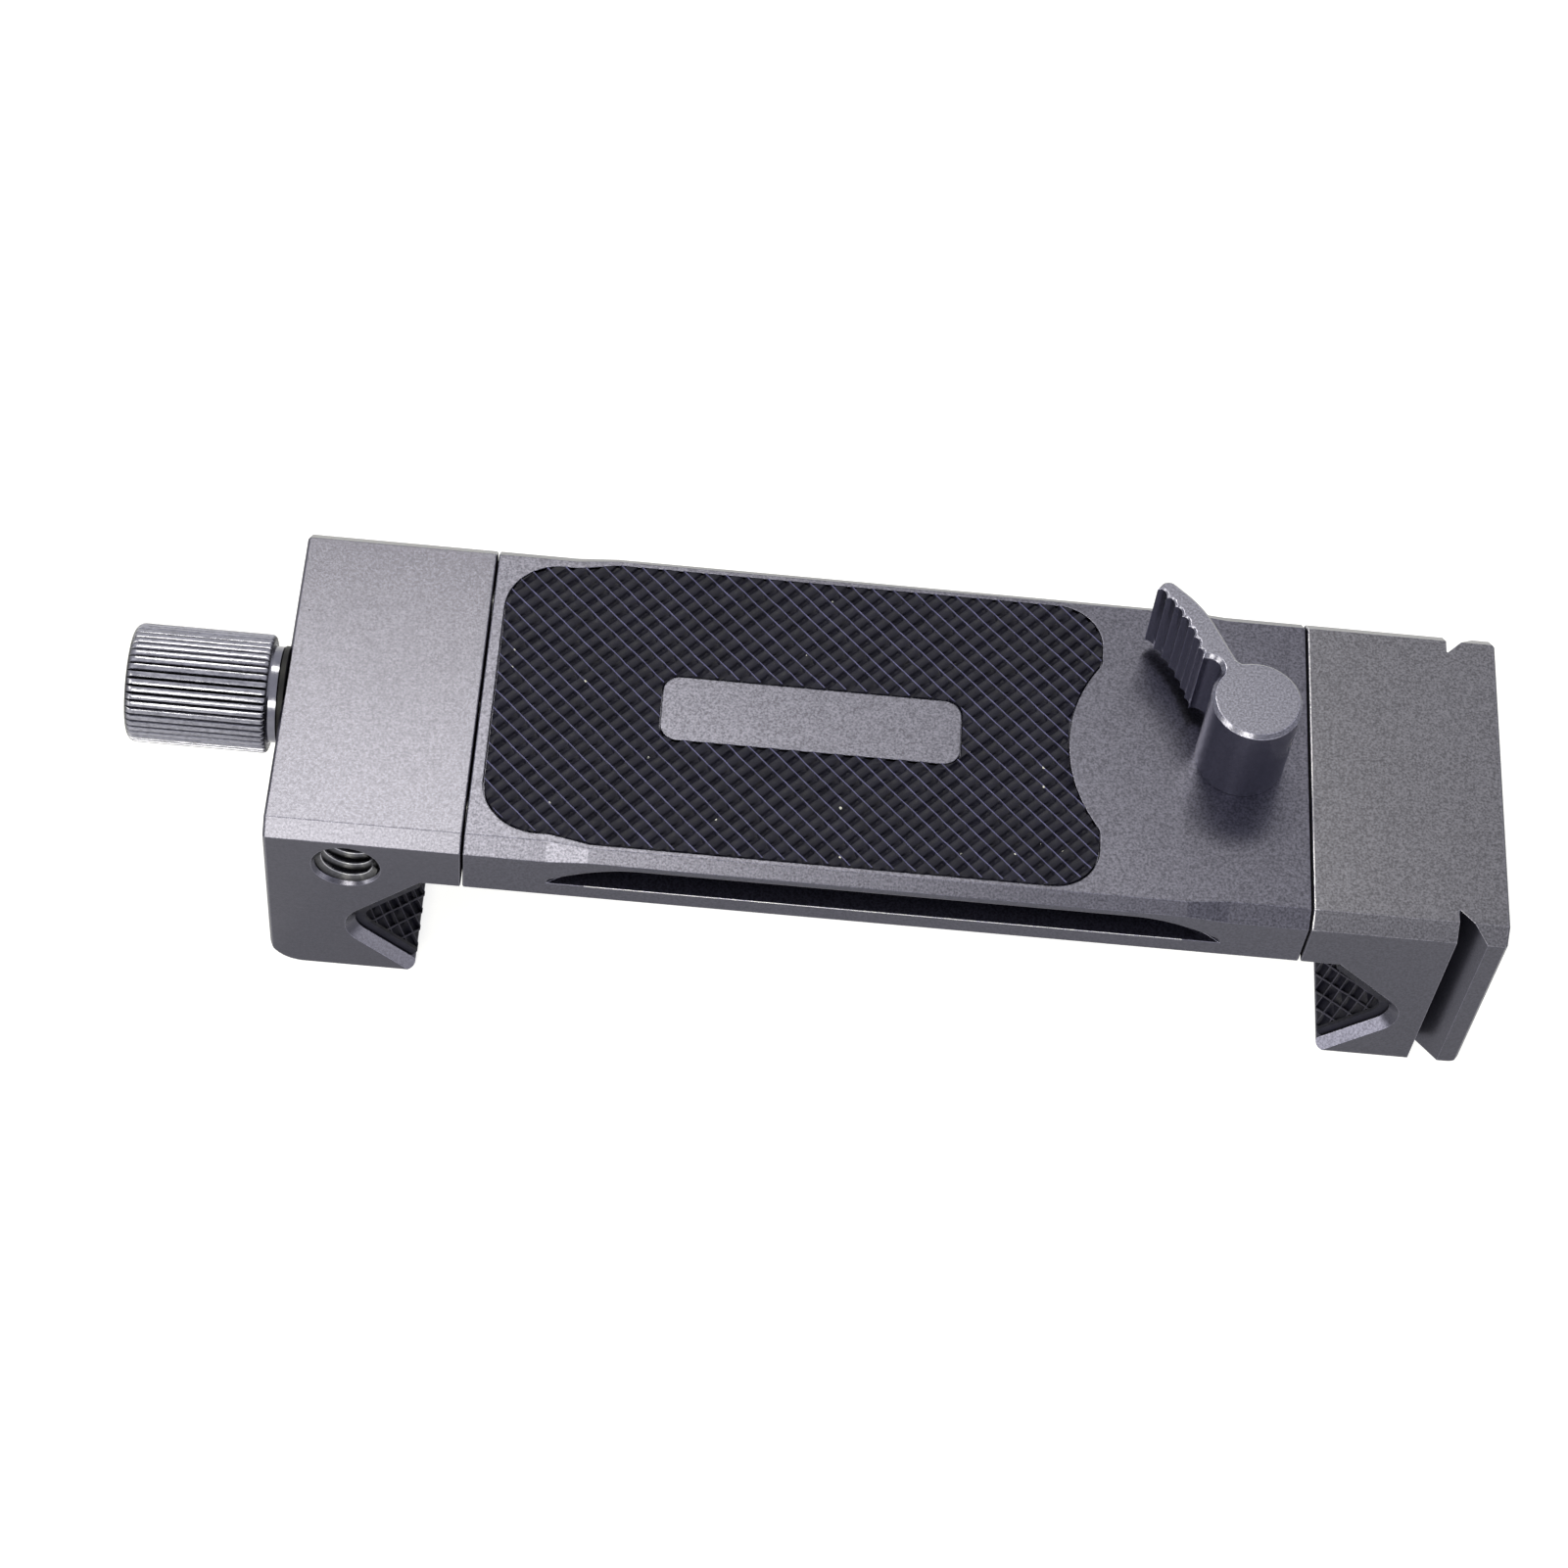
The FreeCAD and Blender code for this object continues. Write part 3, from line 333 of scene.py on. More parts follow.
def anodised(name, colour, roughness, grain, brushed=0.0, pitted=False, top=None, side=1.0, rim_highlight=1.0,
             highlight_box=None):
    """Anodised aluminium, bead blasted or faintly brushed along X.

    top is a paler colour for the faces towards +Z: painted light. side and the rim factor are how much paler
    the upright faces (painted light) and the rims of the notches (painted highlight) are painted. The edges
    get a painted highlight, stronger inside the highlight box.
    """
    material, tree, shader = new_material(name, roughness, 1.0)
    shader.inputs["Specular IOR Level"].default_value = 0.0
    place = millimetres(tree)
    patches = spread(tree, noise_value(tree, place, 0.05, 2), 0.97, 1.03)
    height = noise_value(tree, place, 9.0, 2, 0.6)
    across, forward, upward = facing_parts(tree)
    speckle = spread(tree, noise_value(tree, place, 4.5, 1), -grain, grain)
    speckle = maths(tree, "MULTIPLY", speckle, remap(tree, upward, *GRAIN_FADE, GRAIN_ON_SIDES, 1))
    factor = maths(tree, "MULTIPLY", patches, maths(tree, "ADD", speckle, 1.0))
    sideways = remap(tree, maths(tree, "ABSOLUTE", across), *TILT_FADE, 0, 1)
    # Painted light: the upright faces are painted paler by the side factor
    if side != 1:
        factor = maths(tree, "MULTIPLY", factor, remap(tree, upward, *SIDE_FADE, side, 1))
    # Painted highlight: the slanted rims of the notches are painted paler
    if rim_highlight != 1:
        slanted = remap(tree, forward, *NOTCH_RIM_FADE, 0, 1)
        tilted = remap(tree, maths(tree, "ABSOLUTE", upward), *TILT_FADE, 0, 1)
        painted_light = maths(tree, "MULTIPLY", maths(tree, "MULTIPLY", sideways, slanted), tilted)
        factor = maths(tree, "MULTIPLY", factor, remap(tree, painted_light, 0, 1, 1, rim_highlight))
    if brushed:
        lines = noise_value(tree, millimetres(tree, (5, 0.10, 0.10)), 1.0, 2, 0.6)
        streaks = spread(tree, lines, 1 - brushed, 1 + brushed)
        factor = maths(tree, "MULTIPLY", factor, streaks)
    if pitted:
        pits = specks(tree, place, 0.22, 0.03, 0.5)
        factor = maths(tree, "MULTIPLY", factor, remap(tree, pits, 0, 1, 1, 0.35))
    edges = soft_edges(tree, shader, height, 0.002 * MM)
    # Painted highlight: the edges are painted paler
    factor = maths(tree, "MULTIPLY", factor, remap(tree, edges, 0, 1, 1, EDGE_HIGHLIGHT_PALER))
    # Painted highlight: edges inside the highlight box are painted paler still
    if highlight_box:
        boxed_highlight = maths(tree, "MULTIPLY", edges, inside_box(tree, *highlight_box))
        factor = maths(tree, "MULTIPLY", factor, remap(tree, boxed_highlight, 0, 1, 1, BRIGHT_LINE))
    base = tinted(tree, colour, factor)
    # Painted light: the faces towards +Z take the paler top colour
    if top:
        level = remap(tree, upward, *TOP_FADE, 0, 1)
        level = maths(tree, "MULTIPLY", level, maths(tree, "SUBTRACT", 1.0, sideways))
        base = mixed(tree, level, base, tinted(tree, top, factor))
    # Painted shade: the seam walls are painted dark and not metallic
    inside = shaded_seam_walls(tree, across)
    base = mixed(tree, inside, base, SEAM_SHADE_GREY)
    tree.links.new(base, shader.inputs["Base Color"])
    tree.links.new(maths(tree, "SUBTRACT", 1.0, inside), shader.inputs["Metallic"])
    return material


def rubber(name, colour, painted_light=None, dusty=True):
    """Black moulded rubber with a dull grain and a little lint, with a painted highlight in a given range of
    heights.
    """
    material, tree, shader = new_material(name, 0.5, 0.0)
    shader.inputs["Specular IOR Level"].default_value = 0.22
    place = millimetres(tree)
    tone = spread(tree, noise_value(tree, place, 0.5, 3), 0.75, 1.3)
    fine = spread(tree, noise_value(tree, place, 6.0, 3, 0.7), 0.8, 1.2)
    factor = maths(tree, "MULTIPLY", tone, fine)
    if painted_light:
        height = place_parts(tree)[2]
        factor = maths(tree, "MULTIPLY", factor, remap(tree, height, *painted_light, 1.0, HIGHLIGHT_PALER))
    base = tinted(tree, colour, factor)
    if dusty:
        lint = specks(tree, place, 0.40, 0.06, 0.35)
        base = mixed(tree, lint, base, LINT_GREY)
    tree.links.new(base, shader.inputs["Base Color"])
    rough = spread(tree, noise_value(tree, place, 1.2, 3), 0.45, 0.65)
    tree.links.new(rough, shader.inputs["Roughness"])
    bump(tree, shader, noise_value(tree, place, 4.0, 4, 0.7), 0.03 * MM)
    return material


def plain_metal(name, colour, roughness, variation=0.15, bump_depth=0.004):
    material, tree, shader = new_material(name, roughness, 1.0)
    place = millimetres(tree)
    tone = spread(tree, noise_value(tree, place, 1.5, 4, 0.6), 1 - variation, 1 + variation)
    tree.links.new(tinted(tree, colour, tone), shader.inputs["Base Color"])
    rough = noise_value(tree, place, 2.5, 3)
    rough = spread(tree, rough, roughness - 0.05, roughness + 0.08)
    tree.links.new(rough, shader.inputs["Roughness"])
    bump(tree, shader, noise_value(tree, place, 6.0, 3, 0.6), bump_depth * MM)
    return material


def acetal(name, colour):
    material, tree, shader = new_material(name, 0.5, 0.0)
    shader.inputs["Specular IOR Level"].default_value = 0.2
    place = millimetres(tree)
    tone = spread(tree, noise_value(tree, place, 2.0, 3), 0.8, 1.2)
    tree.links.new(tinted(tree, colour, tone), shader.inputs["Base Color"])
    bump(tree, shader, noise_value(tree, place, 5.0, 2), 0.004 * MM)
    return material


def distance_from_axis(tree, axis, centre):
    """Distance from a line along X or Y through a centre, in metres."""
    squares = []
    for name, value, middle in zip("XYZ", place_parts(tree), centre):
        if name != axis:
            away = maths(tree, "SUBTRACT", value, middle)
            squares.append(maths(tree, "MULTIPLY", away, away))
    return maths(tree, "SQRT", maths(tree, "ADD", *squares))


def ribbed_steel(name, centre, root_radius, crest_radius):
    """Turned steel, with painted shade between the ribs that fades out on the crests and again on the knob's
    end below the roots.
    """
    material, tree, shader = new_material(name, 0.24, 1.0)
    radius = distance_from_axis(tree, "X", centre)
    # Painted shade, deepening from the crests down to the ribs' roots
    painted_light = remap(tree, radius, root_radius, crest_radius - KNOB_CREST, 0.08, 1.0)
    inner = remap(tree, radius, *[root_radius - depth for depth in KNOB_INSIDE], 0.8, 0)
    painted_light = maths(tree, "MAXIMUM", painted_light, inner)
    lines = noise_value(tree, millimetres(tree, (5, 0.25, 0.25)), 1.0, 4, 0.7)
    streaks = spread(tree, lines, 0.7, 1.2)
    pores = noise_value(tree, millimetres(tree, (0.5, 0.25, 0.25)), 1.0, 2, 0.6)
    pores = remap(tree, pores, 0.35, 0.6, 0.7, 1.05)
    tone = maths(tree, "MULTIPLY", maths(tree, "MULTIPLY", painted_light, streaks), pores)
    tree.links.new(tinted(tree, KNOB_GREY, tone), shader.inputs["Base Color"])
    rough = spread(tree, lines, 0.16, 0.34)
    tree.links.new(rough, shader.inputs["Roughness"])
    bump(tree, shader, lines, 0.012 * MM)
    return material


def cut_thread(name, centre, root_radius, crest_radius):
    """A tapped thread: painted shade on the flanks and a painted highlight on the crests."""
    material, tree, shader = new_material(name, 0.22, 1.0)
    radius = distance_from_axis(tree, "Y", centre)
    crest_root = crest_radius + SOCKET_CREST_DEPTH
    crest = remap(tree, radius, crest_root, crest_radius, 0, 1)
    flank_shade = remap(tree, radius, root_radius, crest_root, 0.25, 1.0)
    place = millimetres(tree)
    fine = spread(tree, noise_value(tree, place, 3.0, 3), 0.8, 1.2)
    # Painted highlight on the crests, painted shade down the flanks
    tone = maths(tree, "ADD", maths(tree, "MULTIPLY", crest, 3.5), flank_shade)
    tone = maths(tree, "MULTIPLY", tone, fine)
    tree.links.new(tinted(tree, THREAD_GREY, tone), shader.inputs["Base Color"])
    bump(tree, shader, noise_value(tree, place, 6.0, 3), 0.003 * MM)
    return material


def floor_material():
    """Pale floor: diffuse for the shadow, with light of its own where it is seen or mirrored."""
    material = bpy.data.materials.new("pale_floor")
    material.use_nodes = True
    tree = material.node_tree
    tree.nodes.clear()
    output = tree.nodes.new("ShaderNodeOutputMaterial")
    diffuse = tree.nodes.new("ShaderNodeBsdfDiffuse")
    diffuse.inputs["Color"].default_value = FLOOR_COLOUR
    glow = tree.nodes.new("ShaderNodeEmission")
    path = tree.nodes.new("ShaderNodeLightPath")
    mirrored = maths(tree, "MAXIMUM", path.outputs["Is Glossy Ray"], path.outputs["Is Transmission Ray"])
    mirrored = maths(tree, "MULTIPLY", mirrored, MIRRORED_GLOW)
    direct = maths(tree, "MULTIPLY", path.outputs["Is Camera Ray"], FLOOR_GLOW)
    tree.links.new(maths(tree, "MAXIMUM", direct, mirrored), glow.inputs["Strength"])
    both = tree.nodes.new("ShaderNodeAddShader")
    tree.links.new(diffuse.outputs["BSDF"], both.inputs[0])
    tree.links.new(glow.outputs["Emission"], both.inputs[1])
    tree.links.new(both.outputs["Shader"], output.inputs["Surface"])
    return material


def seen_rays(tree):
    """1 for camera, glossy and transmission rays."""
    path = tree.nodes.new("ShaderNodeLightPath")
    seen = maths(tree, "MAXIMUM", path.outputs["Is Camera Ray"], path.outputs["Is Glossy Ray"])
    return maths(tree, "MAXIMUM", seen, path.outputs["Is Transmission Ray"])


# Meshes

def mesh_object(name, bm, *materials, smooth_degrees=35):
    """A scene object from a bmesh, smooth except at its sharp edges."""
    bmesh.ops.recalc_face_normals(bm, faces=bm.faces)
    mesh = bpy.data.meshes.new(name)
    bm.to_mesh(mesh)
    bm.free()
    mesh.shade_smooth()
    mesh.set_sharp_from_angle(angle=math.radians(smooth_degrees))
    for material in materials:
        mesh.materials.append(material)
    made = bpy.data.objects.new(name, mesh)
    bpy.context.scene.collection.objects.link(made)
    return made


def node_copy(name):
    """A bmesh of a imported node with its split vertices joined."""
    bm = bmesh.new()
    bm.from_mesh(NODES[name].data)
    bmesh.ops.remove_doubles(bm, verts=bm.verts, dist=1e-7)
    return bm


def carve(piece, cutter):
    """Cuts the cutter out of the piece and removes the cutter.

    The boolean can leave most of a pattern out. Such a result has few faces, and the cut is then made
    again with the cutter a hair higher.
    """
    modifier = piece.modifiers.new("boolean", "BOOLEAN")
    modifier.object = cutter
    modifier.operation = "DIFFERENCE"
    modifier.solver = "EXACT"
    enough = len(cutter.data.polygons) / 4
    for attempt in range(CARVE_ATTEMPTS):
        cutter.location.z = attempt * CARVE_SHIFT
        graph = bpy.context.evaluated_depsgraph_get()
        result = bpy.data.meshes.new_from_object(piece.evaluated_get(graph))
        if len(result.polygons) > enough:
            break
    piece.modifiers.clear()
    piece.data = result
    bpy.data.objects.remove(cutter)


def lattice_lines(low, high, pitch, offsets, phase):
    """Places of the mesh lines across a range: each pitch has one line at each offset."""
    values = []
    first = math.floor((low - phase) / pitch)
    last = math.ceil((high - phase) / pitch)
    for i in range(first, last + 1):
        values += [phase + i * pitch + offset for offset in offsets]
    return values


def lattice_cutter(name, low, high, pitch, depth, phase, axes, place, crossed=False):
    """What lies above a pad's pattern.

    The pattern is continuous ridges with a row of grooved tiles between them, or with lower ridges
    across them where it is crossed. axes are the directions across and along the ridges in the pad's
    flat plane, and low and high are that plane's range. place(s, t, height) puts a point of the flat
    plane on the pad. The faces on top of the ridges have the second material.
    """
    across, along = axes
    corners = [Vector((x, y)) for x in (low[0], high[0]) for y in (low[1], high[1])]
    us = [corner.dot(across) for corner in corners]
    vs = [corner.dot(along) for corner in corners]
    ridge = RIDGE_HALF * pitch
    crest = CREST_HALF * pitch
    wall = WALL_HALF * pitch
    tile = TILE_SHARE * depth
    u_rule = [(-wall, 0), (-ridge, 1), (-crest, 2), (crest, 2), (ridge, 1), (wall, 0)]
    v_rule = [(share * pitch, on_tile) for share, on_tile in zip(TILE_PLACES, (1, 0, 0, 1))]
    if crossed:
        tile = CROSS_SHARE * depth
        v_rule = [(-wall, 0), (-ridge, 1), (ridge, 1), (wall, 0)]
    u_lines = lattice_lines(min(us), max(us), pitch, [u for u, _ in u_rule], phase)
    v_lines = lattice_lines(min(vs), max(vs), pitch, [v for v, _ in v_rule], 0.0)
    noise.seed_set(WAVE_SEED)
    bm = bmesh.new()
    rows = []
    for i, u in enumerate(u_lines):
        row = []
        for j, v in enumerate(v_lines):
            on_ridge = u_rule[i % len(u_rule)][1]
            on_tile = v_rule[j % len(v_rule)][1]
            height = (0, tile, depth)[on_ridge] if on_ridge else tile * on_tile
            flat = across * u + along * v
            waver = noise.noise_vector(Vector((flat.x, flat.y, 0)) / pitch) * WAVE
            row.append(bm.verts.new((flat.x + waver.x, flat.y + waver.y, height)))
        rows.append(row)
    for i, (near_row, far_row) in enumerate(zip(rows, rows[1:])):
        on_crest = u_rule[i % len(u_rule)][1] and u_rule[(i + 1) % len(u_rule)][1]
        for j in range(len(near_row) - 1):
            face = bm.faces.new((near_row[j], near_row[j + 1], far_row[j + 1], far_row[j]))
            on_bar = crossed and v_rule[j % len(v_rule)][1] and v_rule[(j + 1) % len(v_rule)][1]
            face.material_index = 1 if on_crest or on_bar else 0
    for axis in (0, 1):
        for value, sign in ((low[axis], -1), (high[axis], 1)):
            point = Vector((0, 0, 0))
            point[axis] = value
            normal = Vector((0, 0, 0))
            normal[axis] = sign
            geometry = bm.verts[:] + bm.edges[:] + bm.faces[:]
            bmesh.ops.bisect_plane(bm, geom=geometry, dist=1e-8, plane_co=point, plane_no=normal,
                                   clear_outer=True)
    lid = bmesh.ops.extrude_face_region(bm, geom=bm.faces[:])
    for vert in lid["geom"]:
        if isinstance(vert, bmesh.types.BMVert):
            vert.co.z = depth + CUTTER_OVER
    for vert in bm.verts:
        vert.co = place(vert.co.x, vert.co.y, vert.co.z - depth - CREST_DROP)
    bmesh.ops.triangulate(bm, faces=bm.faces[:])
    # The second material paints a highlight on the ridges' tops
    return mesh_object(name, bm, MATERIALS["rubber"], MATERIALS["rubber_painted_crest_highlight"])


def finish_rubber(piece, body, node):
    piece.data.shade_smooth()
    piece.data.set_sharp_from_angle(angle=math.radians(RUBBER_SMOOTH_DEGREES))
    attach(piece, body)
    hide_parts(node)


def back_pad():
    """The rubber back pad, whose pattern runs out over its edges."""
    low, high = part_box("back_pad")
    crest = high.z - CREST_DROP
    # The band of the ridges' tops that gets a painted highlight
    painted_light = (crest - HIGHLIGHT_SHARE * (1 - TILE_SHARE) * BACK_DEPTH, crest)
    material = rubber("black_rubber_painted_light", RUBBER_BLACK, painted_light)
    pad = mesh_object("back_pad_moulded", node_copy("back_pad"), material, material)
    across = Vector((1, 1)).normalized()
    along = Vector((1, -1)).normalized()
    phase = BACK_LINE_AT / math.sqrt(2)

    def place(s, t, height):
        return Vector((s, t, high.z + height))

    start = (low.x - CUTTER_OVER, low.y - CUTTER_OVER)
    end = (high.x + CUTTER_OVER, high.y + CUTTER_OVER)
    axes = (across, along)
    cutter = lattice_cutter("back_pad_cutter", start, end, BACK_PITCH, BACK_DEPTH, phase, axes, place)
    carve(pad, cutter)
    finish_rubber(pad, "body", "back_pad")


def jaw_pads():
    """The bent rubber strips in the hooks' notches: the left one, and the right one as its mirror image."""
    low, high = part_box("left_jaw_pad")
    radius = JAW_PAD_BACK_RADIUS - JAW_PAD_THICKNESS
    arc_half = radius * math.pi / 4
    centre = Vector((low.x + JAW_PAD_BACK_RADIUS, JAW_PAD_CENTRE_Z))
    slant = math.sqrt(0.5)

    def place(s, t, height):
        """s runs up the bent surface from the middle of its arc, and t along Y."""
        angle = max(-arc_half, min(arc_half, s)) / radius
        beyond = max(0, abs(s) - arc_half)
        outward = math.cos(angle) * (radius - height) - beyond * slant
        upward = math.sin(angle) * (radius - height) + math.copysign(beyond * slant, s)
        return Vector((centre.x - outward, t, centre.y + upward))

    reach_down = (JAW_PAD_CENTRE_Z - low.z) * math.sqrt(2) - JAW_PAD_END
    reach_up = (high.z - JAW_PAD_CENTRE_Z) * math.sqrt(2) - JAW_PAD_END
    bottom = (-reach_down + JAW_RIM, low.y + JAW_RIM)
    top = (reach_up - JAW_RIM, high.y - JAW_RIM)
    axes = (Vector((slant, slant)), Vector((slant, -slant)))
    cutter = lattice_cutter("jaw_pad_cutter", bottom, top, JAW_PITCH, JAW_DEPTH, 0.0, axes, place, True)
    finishes = MATERIALS["rubber"], MATERIALS["rubber_painted_crest_highlight"]
    left = mesh_object("left_jaw_pad_moulded", node_copy("left_jaw_pad"), *finishes)
    carve(left, cutter)
    bm = bmesh.new()
    bm.from_mesh(left.data)
    middle = (high.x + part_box("right_jaw_pad")[0].x) / 2
    for vert in bm.verts:
        vert.co.x = 2 * middle - vert.co.x
    bmesh.ops.reverse_faces(bm, faces=bm.faces)
    right = mesh_object("right_jaw_pad_moulded", bm, *finishes)
    finish_rubber(left, "left_jaw", "left_jaw_pad")
    finish_rubber(right, "right_jaw", "right_jaw_pad")


# Threads

def swept_thread(name, start, axis, side, length, pitch, section, material):
    """A helical ridge: section lists its (radius, shift along the axis) corners."""
    across = axis.cross(side)
    count = int(length / pitch * STEPS_A_TURN)
    bm = bmesh.new()
    rings = []
    for i in range(count + 1):
        angle = 2 * math.pi * i / STEPS_A_TURN
        outward = side * math.cos(angle) + across * math.sin(angle)
        along = pitch * i / STEPS_A_TURN
        rings.append([bm.verts.new(start + outward * radius + axis * (along + shift))
                      for radius, shift in section])
    for near_ring, far_ring in zip(rings, rings[1:]):
        for j in range(len(section)):
            following = (j + 1) % len(section)
            bm.faces.new((near_ring[j], near_ring[following], far_ring[following], far_ring[j]))
    bm.faces.new(rings[0])
    bm.faces.new(rings[-1])
    return mesh_object(name, bm, material, smooth_degrees=50)


def socket_thread():
    """The camera thread inside the socket of the left jaw's front face."""
    mount = MOUNTS["camera_thread"]
    radius = mount["dims"]["r_mm"] * MM
    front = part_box("left_jaw")[0].y
    start = Vector((mount["pos_m"][0], front + SOCKET_THREAD_START, mount["pos_m"][2]))
    wide, narrow = [share * SOCKET_PITCH for share in SOCKET_HALF_WIDTHS]
    root = radius + SOCKET_SINK
    section = [(root, -wide), (SOCKET_CREST, -narrow), (SOCKET_CREST, narrow), (root, wide)]
    thread = swept_thread("socket_thread", start, Vector((0, 1, 0)), Vector((1, 0, 0)),
                          SOCKET_THREAD_LENGTH, SOCKET_PITCH, section, MATERIALS["thread"])
    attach(thread, "left_jaw")


def threaded_screw():
    """The adjusting screw with its fine thread, its plain shank and the pins' groove."""
    low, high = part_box("adjust_screw")
    radius = (high.z - low.z) / 2
    centre = (high.z + low.z) / 2
    groove_start, groove_end = SCREW_GROOVE
    stations = [(low.x, radius), (groove_start, radius), (groove_start, SCREW_GROOVE_RADIUS),
                (groove_end, SCREW_GROOVE_RADIUS), (groove_end, radius)]
    stations = [(x, r, 0.0) for x, r in stations]
    step = SCREW_PITCH / STEPS_A_PITCH
    count = int((high.x - SCREW_END_BEVEL - groove_end) / step)
    for i in range(1, count + 1):
        fade = min(1.0, i / STEPS_A_PITCH)
        stations.append((groove_end + i * step, radius, fade))
    stations.append((high.x, radius - SCREW_END_BEVEL, 0.0))
    bm = bmesh.new()
    rings = []
    for x, r, fade in stations:
        ring = []
        for i in range(STEPS_A_TURN):
            share = i / STEPS_A_TURN
            phase = ((x - groove_end) / SCREW_PITCH - share) % 1.0
            valley = max(0.0, 1 - abs(phase - 0.5) / SCREW_VALLEY_HALF)
            out = r - SCREW_THREAD_DEPTH * fade * valley
            angle = 2 * math.pi * share
            ring.append(bm.verts.new((x, out * math.cos(angle), centre + out * math.sin(angle))))
        rings.append(ring)
    for near_ring, far_ring in zip(rings, rings[1:]):
        for i in range(STEPS_A_TURN):
            following = (i + 1) % STEPS_A_TURN
            bm.faces.new((near_ring[i], near_ring[following], far_ring[following], far_ring[i]))
    bm.faces.new(rings[0])
    bm.faces.new(rings[-1])
    screw = mesh_object("adjust_screw_threaded", bm, MATERIALS["steel"], smooth_degrees=50)
    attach(screw, "knob")
    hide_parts("adjust_screw")


def turned_knob():
    """The knob with its rounded straight ribs, a dished end, a plain neck and the screw's bore."""
    low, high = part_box("knob")
    crest = (high.z - low.z) / 2
    centre = (high.z + low.z) / 2
    bore = (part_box("adjust_screw")[1].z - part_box("adjust_screw")[0].z) / 2
    dish_radius, dish_depth = KNOB_DISH
    ribs_end = high.x - KNOB_NECK_LENGTH
    neck = KNOB_NECK_RADIUS
    # place along X and the radius that limits the ribs there
    stations = [(low.x + dish_depth, dish_radius - dish_depth), (low.x, dish_radius)]
    stations += [(low.x + back * MM, crest - short * MM) for back, short in KNOB_END_ROUND]
    stations += [(ribs_end - back * MM, crest - short * MM) for back, short in KNOB_INNER_ROUND]
    neck_start = len(stations)
    stations += [(ribs_end, neck + KNOB_NECK_FILLET), (ribs_end + KNOB_NECK_FILLET, neck)]
    stations += [(high.x - KNOB_NECK_BEVEL, neck), (high.x, neck - KNOB_NECK_BEVEL)]
    stations += [(high.x, bore), (high.x - KNOB_BORE, bore)]
    count = KNOB_RIBS * KNOB_RIB_STEPS
    bm = bmesh.new()
    rings = []
    for x, limit in stations:
        ring = []
        for i in range(count):
            phase = abs((i / KNOB_RIB_STEPS) % 1.0 - 0.5) * 2
            valley = max(0.0, (phase - KNOB_RIB_LAND) / (1 - KNOB_RIB_LAND))
            rounded = KNOB_RIB_ROUND * min(1.0, phase / KNOB_RIB_LAND) ** 2
            radius = min(limit, crest - rounded - KNOB_RIB_DEPTH * valley)
            angle = 2 * math.pi * i / count
            ring.append(bm.verts.new((x, radius * math.cos(angle), centre + radius * math.sin(angle))))
        rings.append(ring)
    for station, (near_ring, far_ring) in enumerate(zip(rings, rings[1:])):
        for i in range(count):
            following = (i + 1) % count
            face = bm.faces.new((near_ring[i], near_ring[following], far_ring[following], far_ring[i]))
            face.material_index = 1 if station >= neck_start else 0
    bm.faces.new(rings[0])
    bm.faces.new(rings[-1])
    knob = mesh_object("knob_turned", bm, MATERIALS["knob"], MATERIALS["neck"], smooth_degrees=30)
    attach(knob, "knob")
    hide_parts("knob")


# Light and camera

def add_floor():
    bm = bmesh.new()
    bmesh.ops.create_grid(bm, x_segments=1, y_segments=1, size=FLOOR_HALF)
    floor = mesh_object("floor", bm, floor_material())


def add_world():
    world = bpy.data.worlds.new("studio")
    bpy.context.scene.world = world
    world.use_nodes = True
    tree = world.node_tree
    strength = maths(tree, "MULTIPLY", seen_rays(tree), 1 - AMBIENT)
    strength = maths(tree, "ADD", strength, AMBIENT)
    background = tree.nodes["Background"]
    background.inputs["Color"].default_value = (1, 1, 1, 1)
    tree.links.new(strength, background.inputs["Strength"])


def add_softbox(name, centre, facing, size, brightness):
    """A rectangular light. Its brightness is what a mirror would show."""
    data = bpy.data.lights.new(name, "AREA")
    data.shape = "RECTANGLE"
    data.size, data.size_y = size
    data.color = LAMP_COLOUR
    data.energy = brightness * math.pi * size[0] * size[1]
    lamp = bpy.data.objects.new(name, data)
    lamp.location = centre
    lamp.rotation_euler = (-Vector(facing)).to_track_quat("Z", "Y").to_euler()
    bpy.context.scene.collection.objects.link(lamp)


def add_camera():
    azimuth = math.radians(CAMERA_AZIMUTH)
    elevation = math.radians(CAMERA_ELEVATION)
    forward = Vector((math.sin(azimuth) * math.cos(elevation), math.cos(azimuth) * math.cos(elevation),
                      -math.sin(elevation)))
    level = forward.cross(Vector((0, 0, 1))).normalized()
    above = level.cross(forward)
    roll = math.radians(CAMERA_ROLL)
    right = level * math.cos(roll) + above * math.sin(roll)
    up = right.cross(forward)
    data = bpy.data.cameras.new("camera")
    data.lens = CAMERA_LENS
    data.sensor_width = SENSOR_WIDTH
    data.clip_start = 0.01
    camera = bpy.data.objects.new("camera", data)
    turn = Matrix((right, up, -forward)).transposed()
    camera.matrix_world = Matrix.Translation(CAMERA_PLACE) @ turn.to_4x4()
    bpy.context.scene.collection.objects.link(camera)
    bpy.context.scene.camera = camera


# Places from the frame

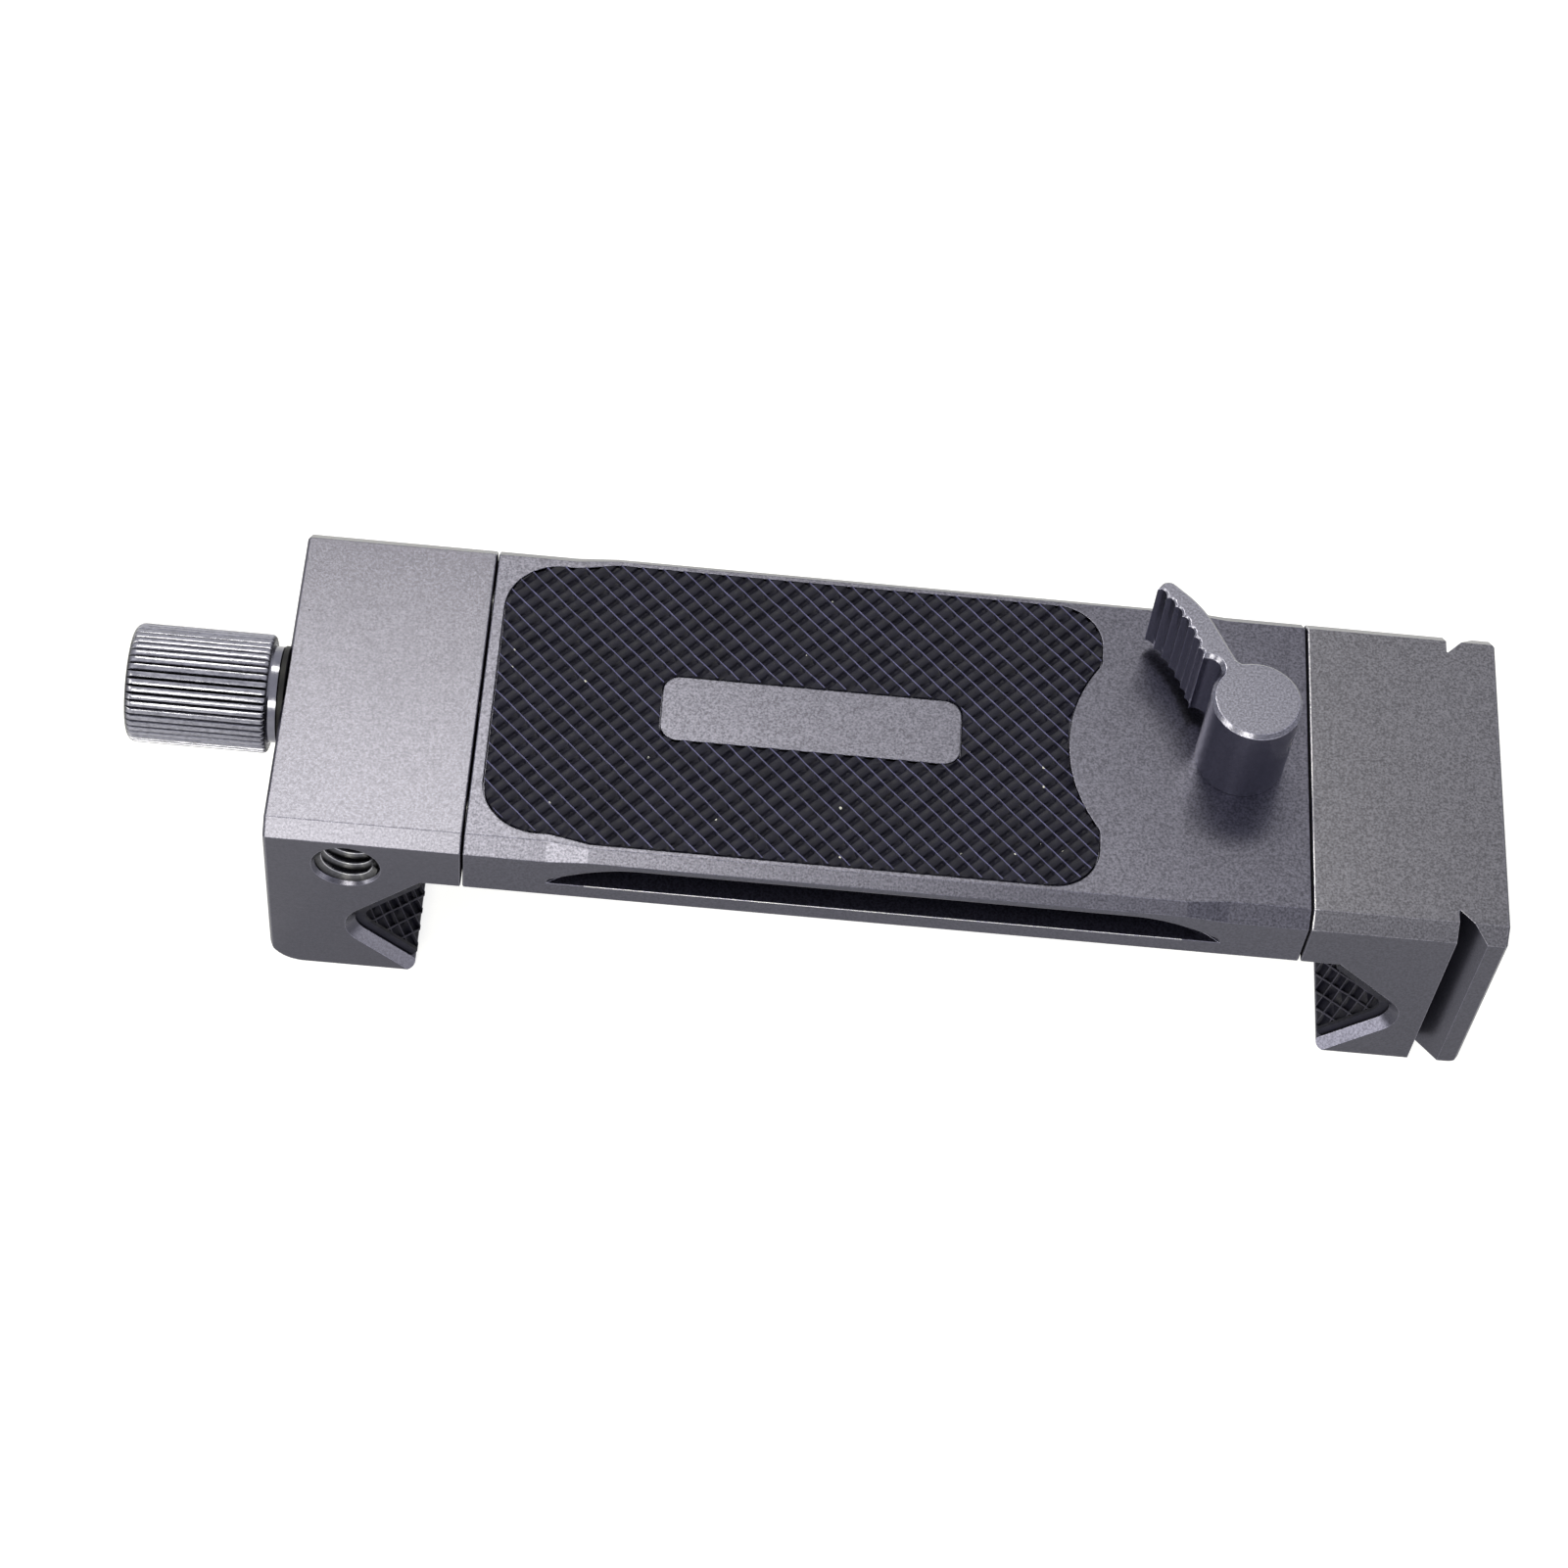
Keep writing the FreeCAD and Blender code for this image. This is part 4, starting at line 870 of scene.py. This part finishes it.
body_low, body_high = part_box("body")
left_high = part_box("left_jaw")[1]
right_low, right_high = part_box("right_jaw")
knob_low, knob_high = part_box("knob")
KNOB_CENTRE = (knob_low + knob_high) / 2
KNOB_RADIUS = (knob_high.z - knob_low.z) / 2
SOCKET_CENTRE = MOUNTS["camera_thread"]["pos_m"]
SOCKET_RADIUS = MOUNTS["camera_thread"]["dims"]["r_mm"] * MM
SEAMS = ((left_high.x + body_low.x) / 2, (body_high.x + right_low.x) / 2)
LIP_Z = body_high.z - LIP_BELOW_TOP
DOVETAIL_LIP_HIGHLIGHT = (Vector((body_low.x + LIP_FROM_ENDS, body_high.y - LIP_REACH, LIP_Z - LIP_REACH)),
                Vector((body_high.x - LIP_FROM_ENDS, body_high.y + LIP_REACH, LIP_Z + LIP_REACH)))
RIGHT_JAW_EDGE_HIGHLIGHT = (Vector((right_low.x - OUTSIDE, -OUTSIDE, right_high.z - INNER_EDGE[1])),
                  Vector((right_low.x + INNER_EDGE[0], right_high.y + OUTSIDE, right_high.z + OUTSIDE)))

MATERIALS = {
    "left_jaw": anodised("anodised_left_jaw", JAW_GREY, 0.26, 0.20, brushed=0.05, pitted=True, rim_highlight=1.9),
    "right_jaw": anodised("anodised_right_jaw", JAW_GREY, 0.28, 0.34, top=JAW_TOP_PAINTED_LIGHT, rim_highlight=3.3,
                          highlight_box=RIGHT_JAW_EDGE_HIGHLIGHT),
    "body": anodised("anodised_body", BODY_GREY, 0.29, 0.36, highlight_box=DOVETAIL_LIP_HIGHLIGHT),
    # The lever's upright faces are painted paler: painted light
    "lever": anodised("anodised_lever", LEVER_GREY, 0.26, 0.32, side=2.0),
    "thread": cut_thread("cut_thread", SOCKET_CENTRE, SOCKET_RADIUS, SOCKET_CREST),
    "rubber": rubber("black_rubber", RUBBER_BLACK),
    # Painted highlight on the pads' ridge tops
    "rubber_painted_crest_highlight": rubber("black_rubber_painted_crest_highlight", CREST_HIGHLIGHT_GREY, dusty=False),
    "knob": ribbed_steel("knob_steel", KNOB_CENTRE, KNOB_RADIUS - KNOB_RIB_DEPTH, KNOB_RADIUS),
    "neck": plain_metal("turned_steel", (0.17, 0.17, 0.21), 0.16, variation=0.08, bump_depth=0.002),
    "steel": plain_metal("bright_steel", (0.34, 0.34, 0.35), 0.25),
    "black_steel": plain_metal("black_steel", (0.05, 0.05, 0.055), 0.35),
    "acetal": acetal("black_acetal", (0.010, 0.010, 0.012)),
    "brass": plain_metal("brass", (0.62, 0.42, 0.16), 0.3),
}
# The finishes of these nodes have their own names, and those of the others follow their slots
OWN_FINISHES = ("left_jaw", "right_jaw", "lever")
SLOT_FINISHES = {
    "grey_anodised": "body",
    "rubber": "rubber",
    "steel": "steel",
    "knob_steel": "knob",
    "black_steel": "black_steel",
    "black_acetal": "acetal",
    "brass": "brass",
}


def dress_nodes():
    """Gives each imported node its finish."""
    for part in frame["record"]["subparts"]:
        name = part["node"]
        finish = name if name in OWN_FINISHES else SLOT_FINISHES[part["material_slot"]]
        for slot in NODES[name].material_slots:
            slot.material = MATERIALS[finish]


dress_nodes()
back_pad()
jaw_pads()
socket_thread()
threaded_screw()
turned_knob()
add_floor()
add_world()
for softbox in SOFTBOXES:
    add_softbox(*softbox)
add_camera()
scene = bpy.context.scene
scene.view_settings.view_transform = "Standard"
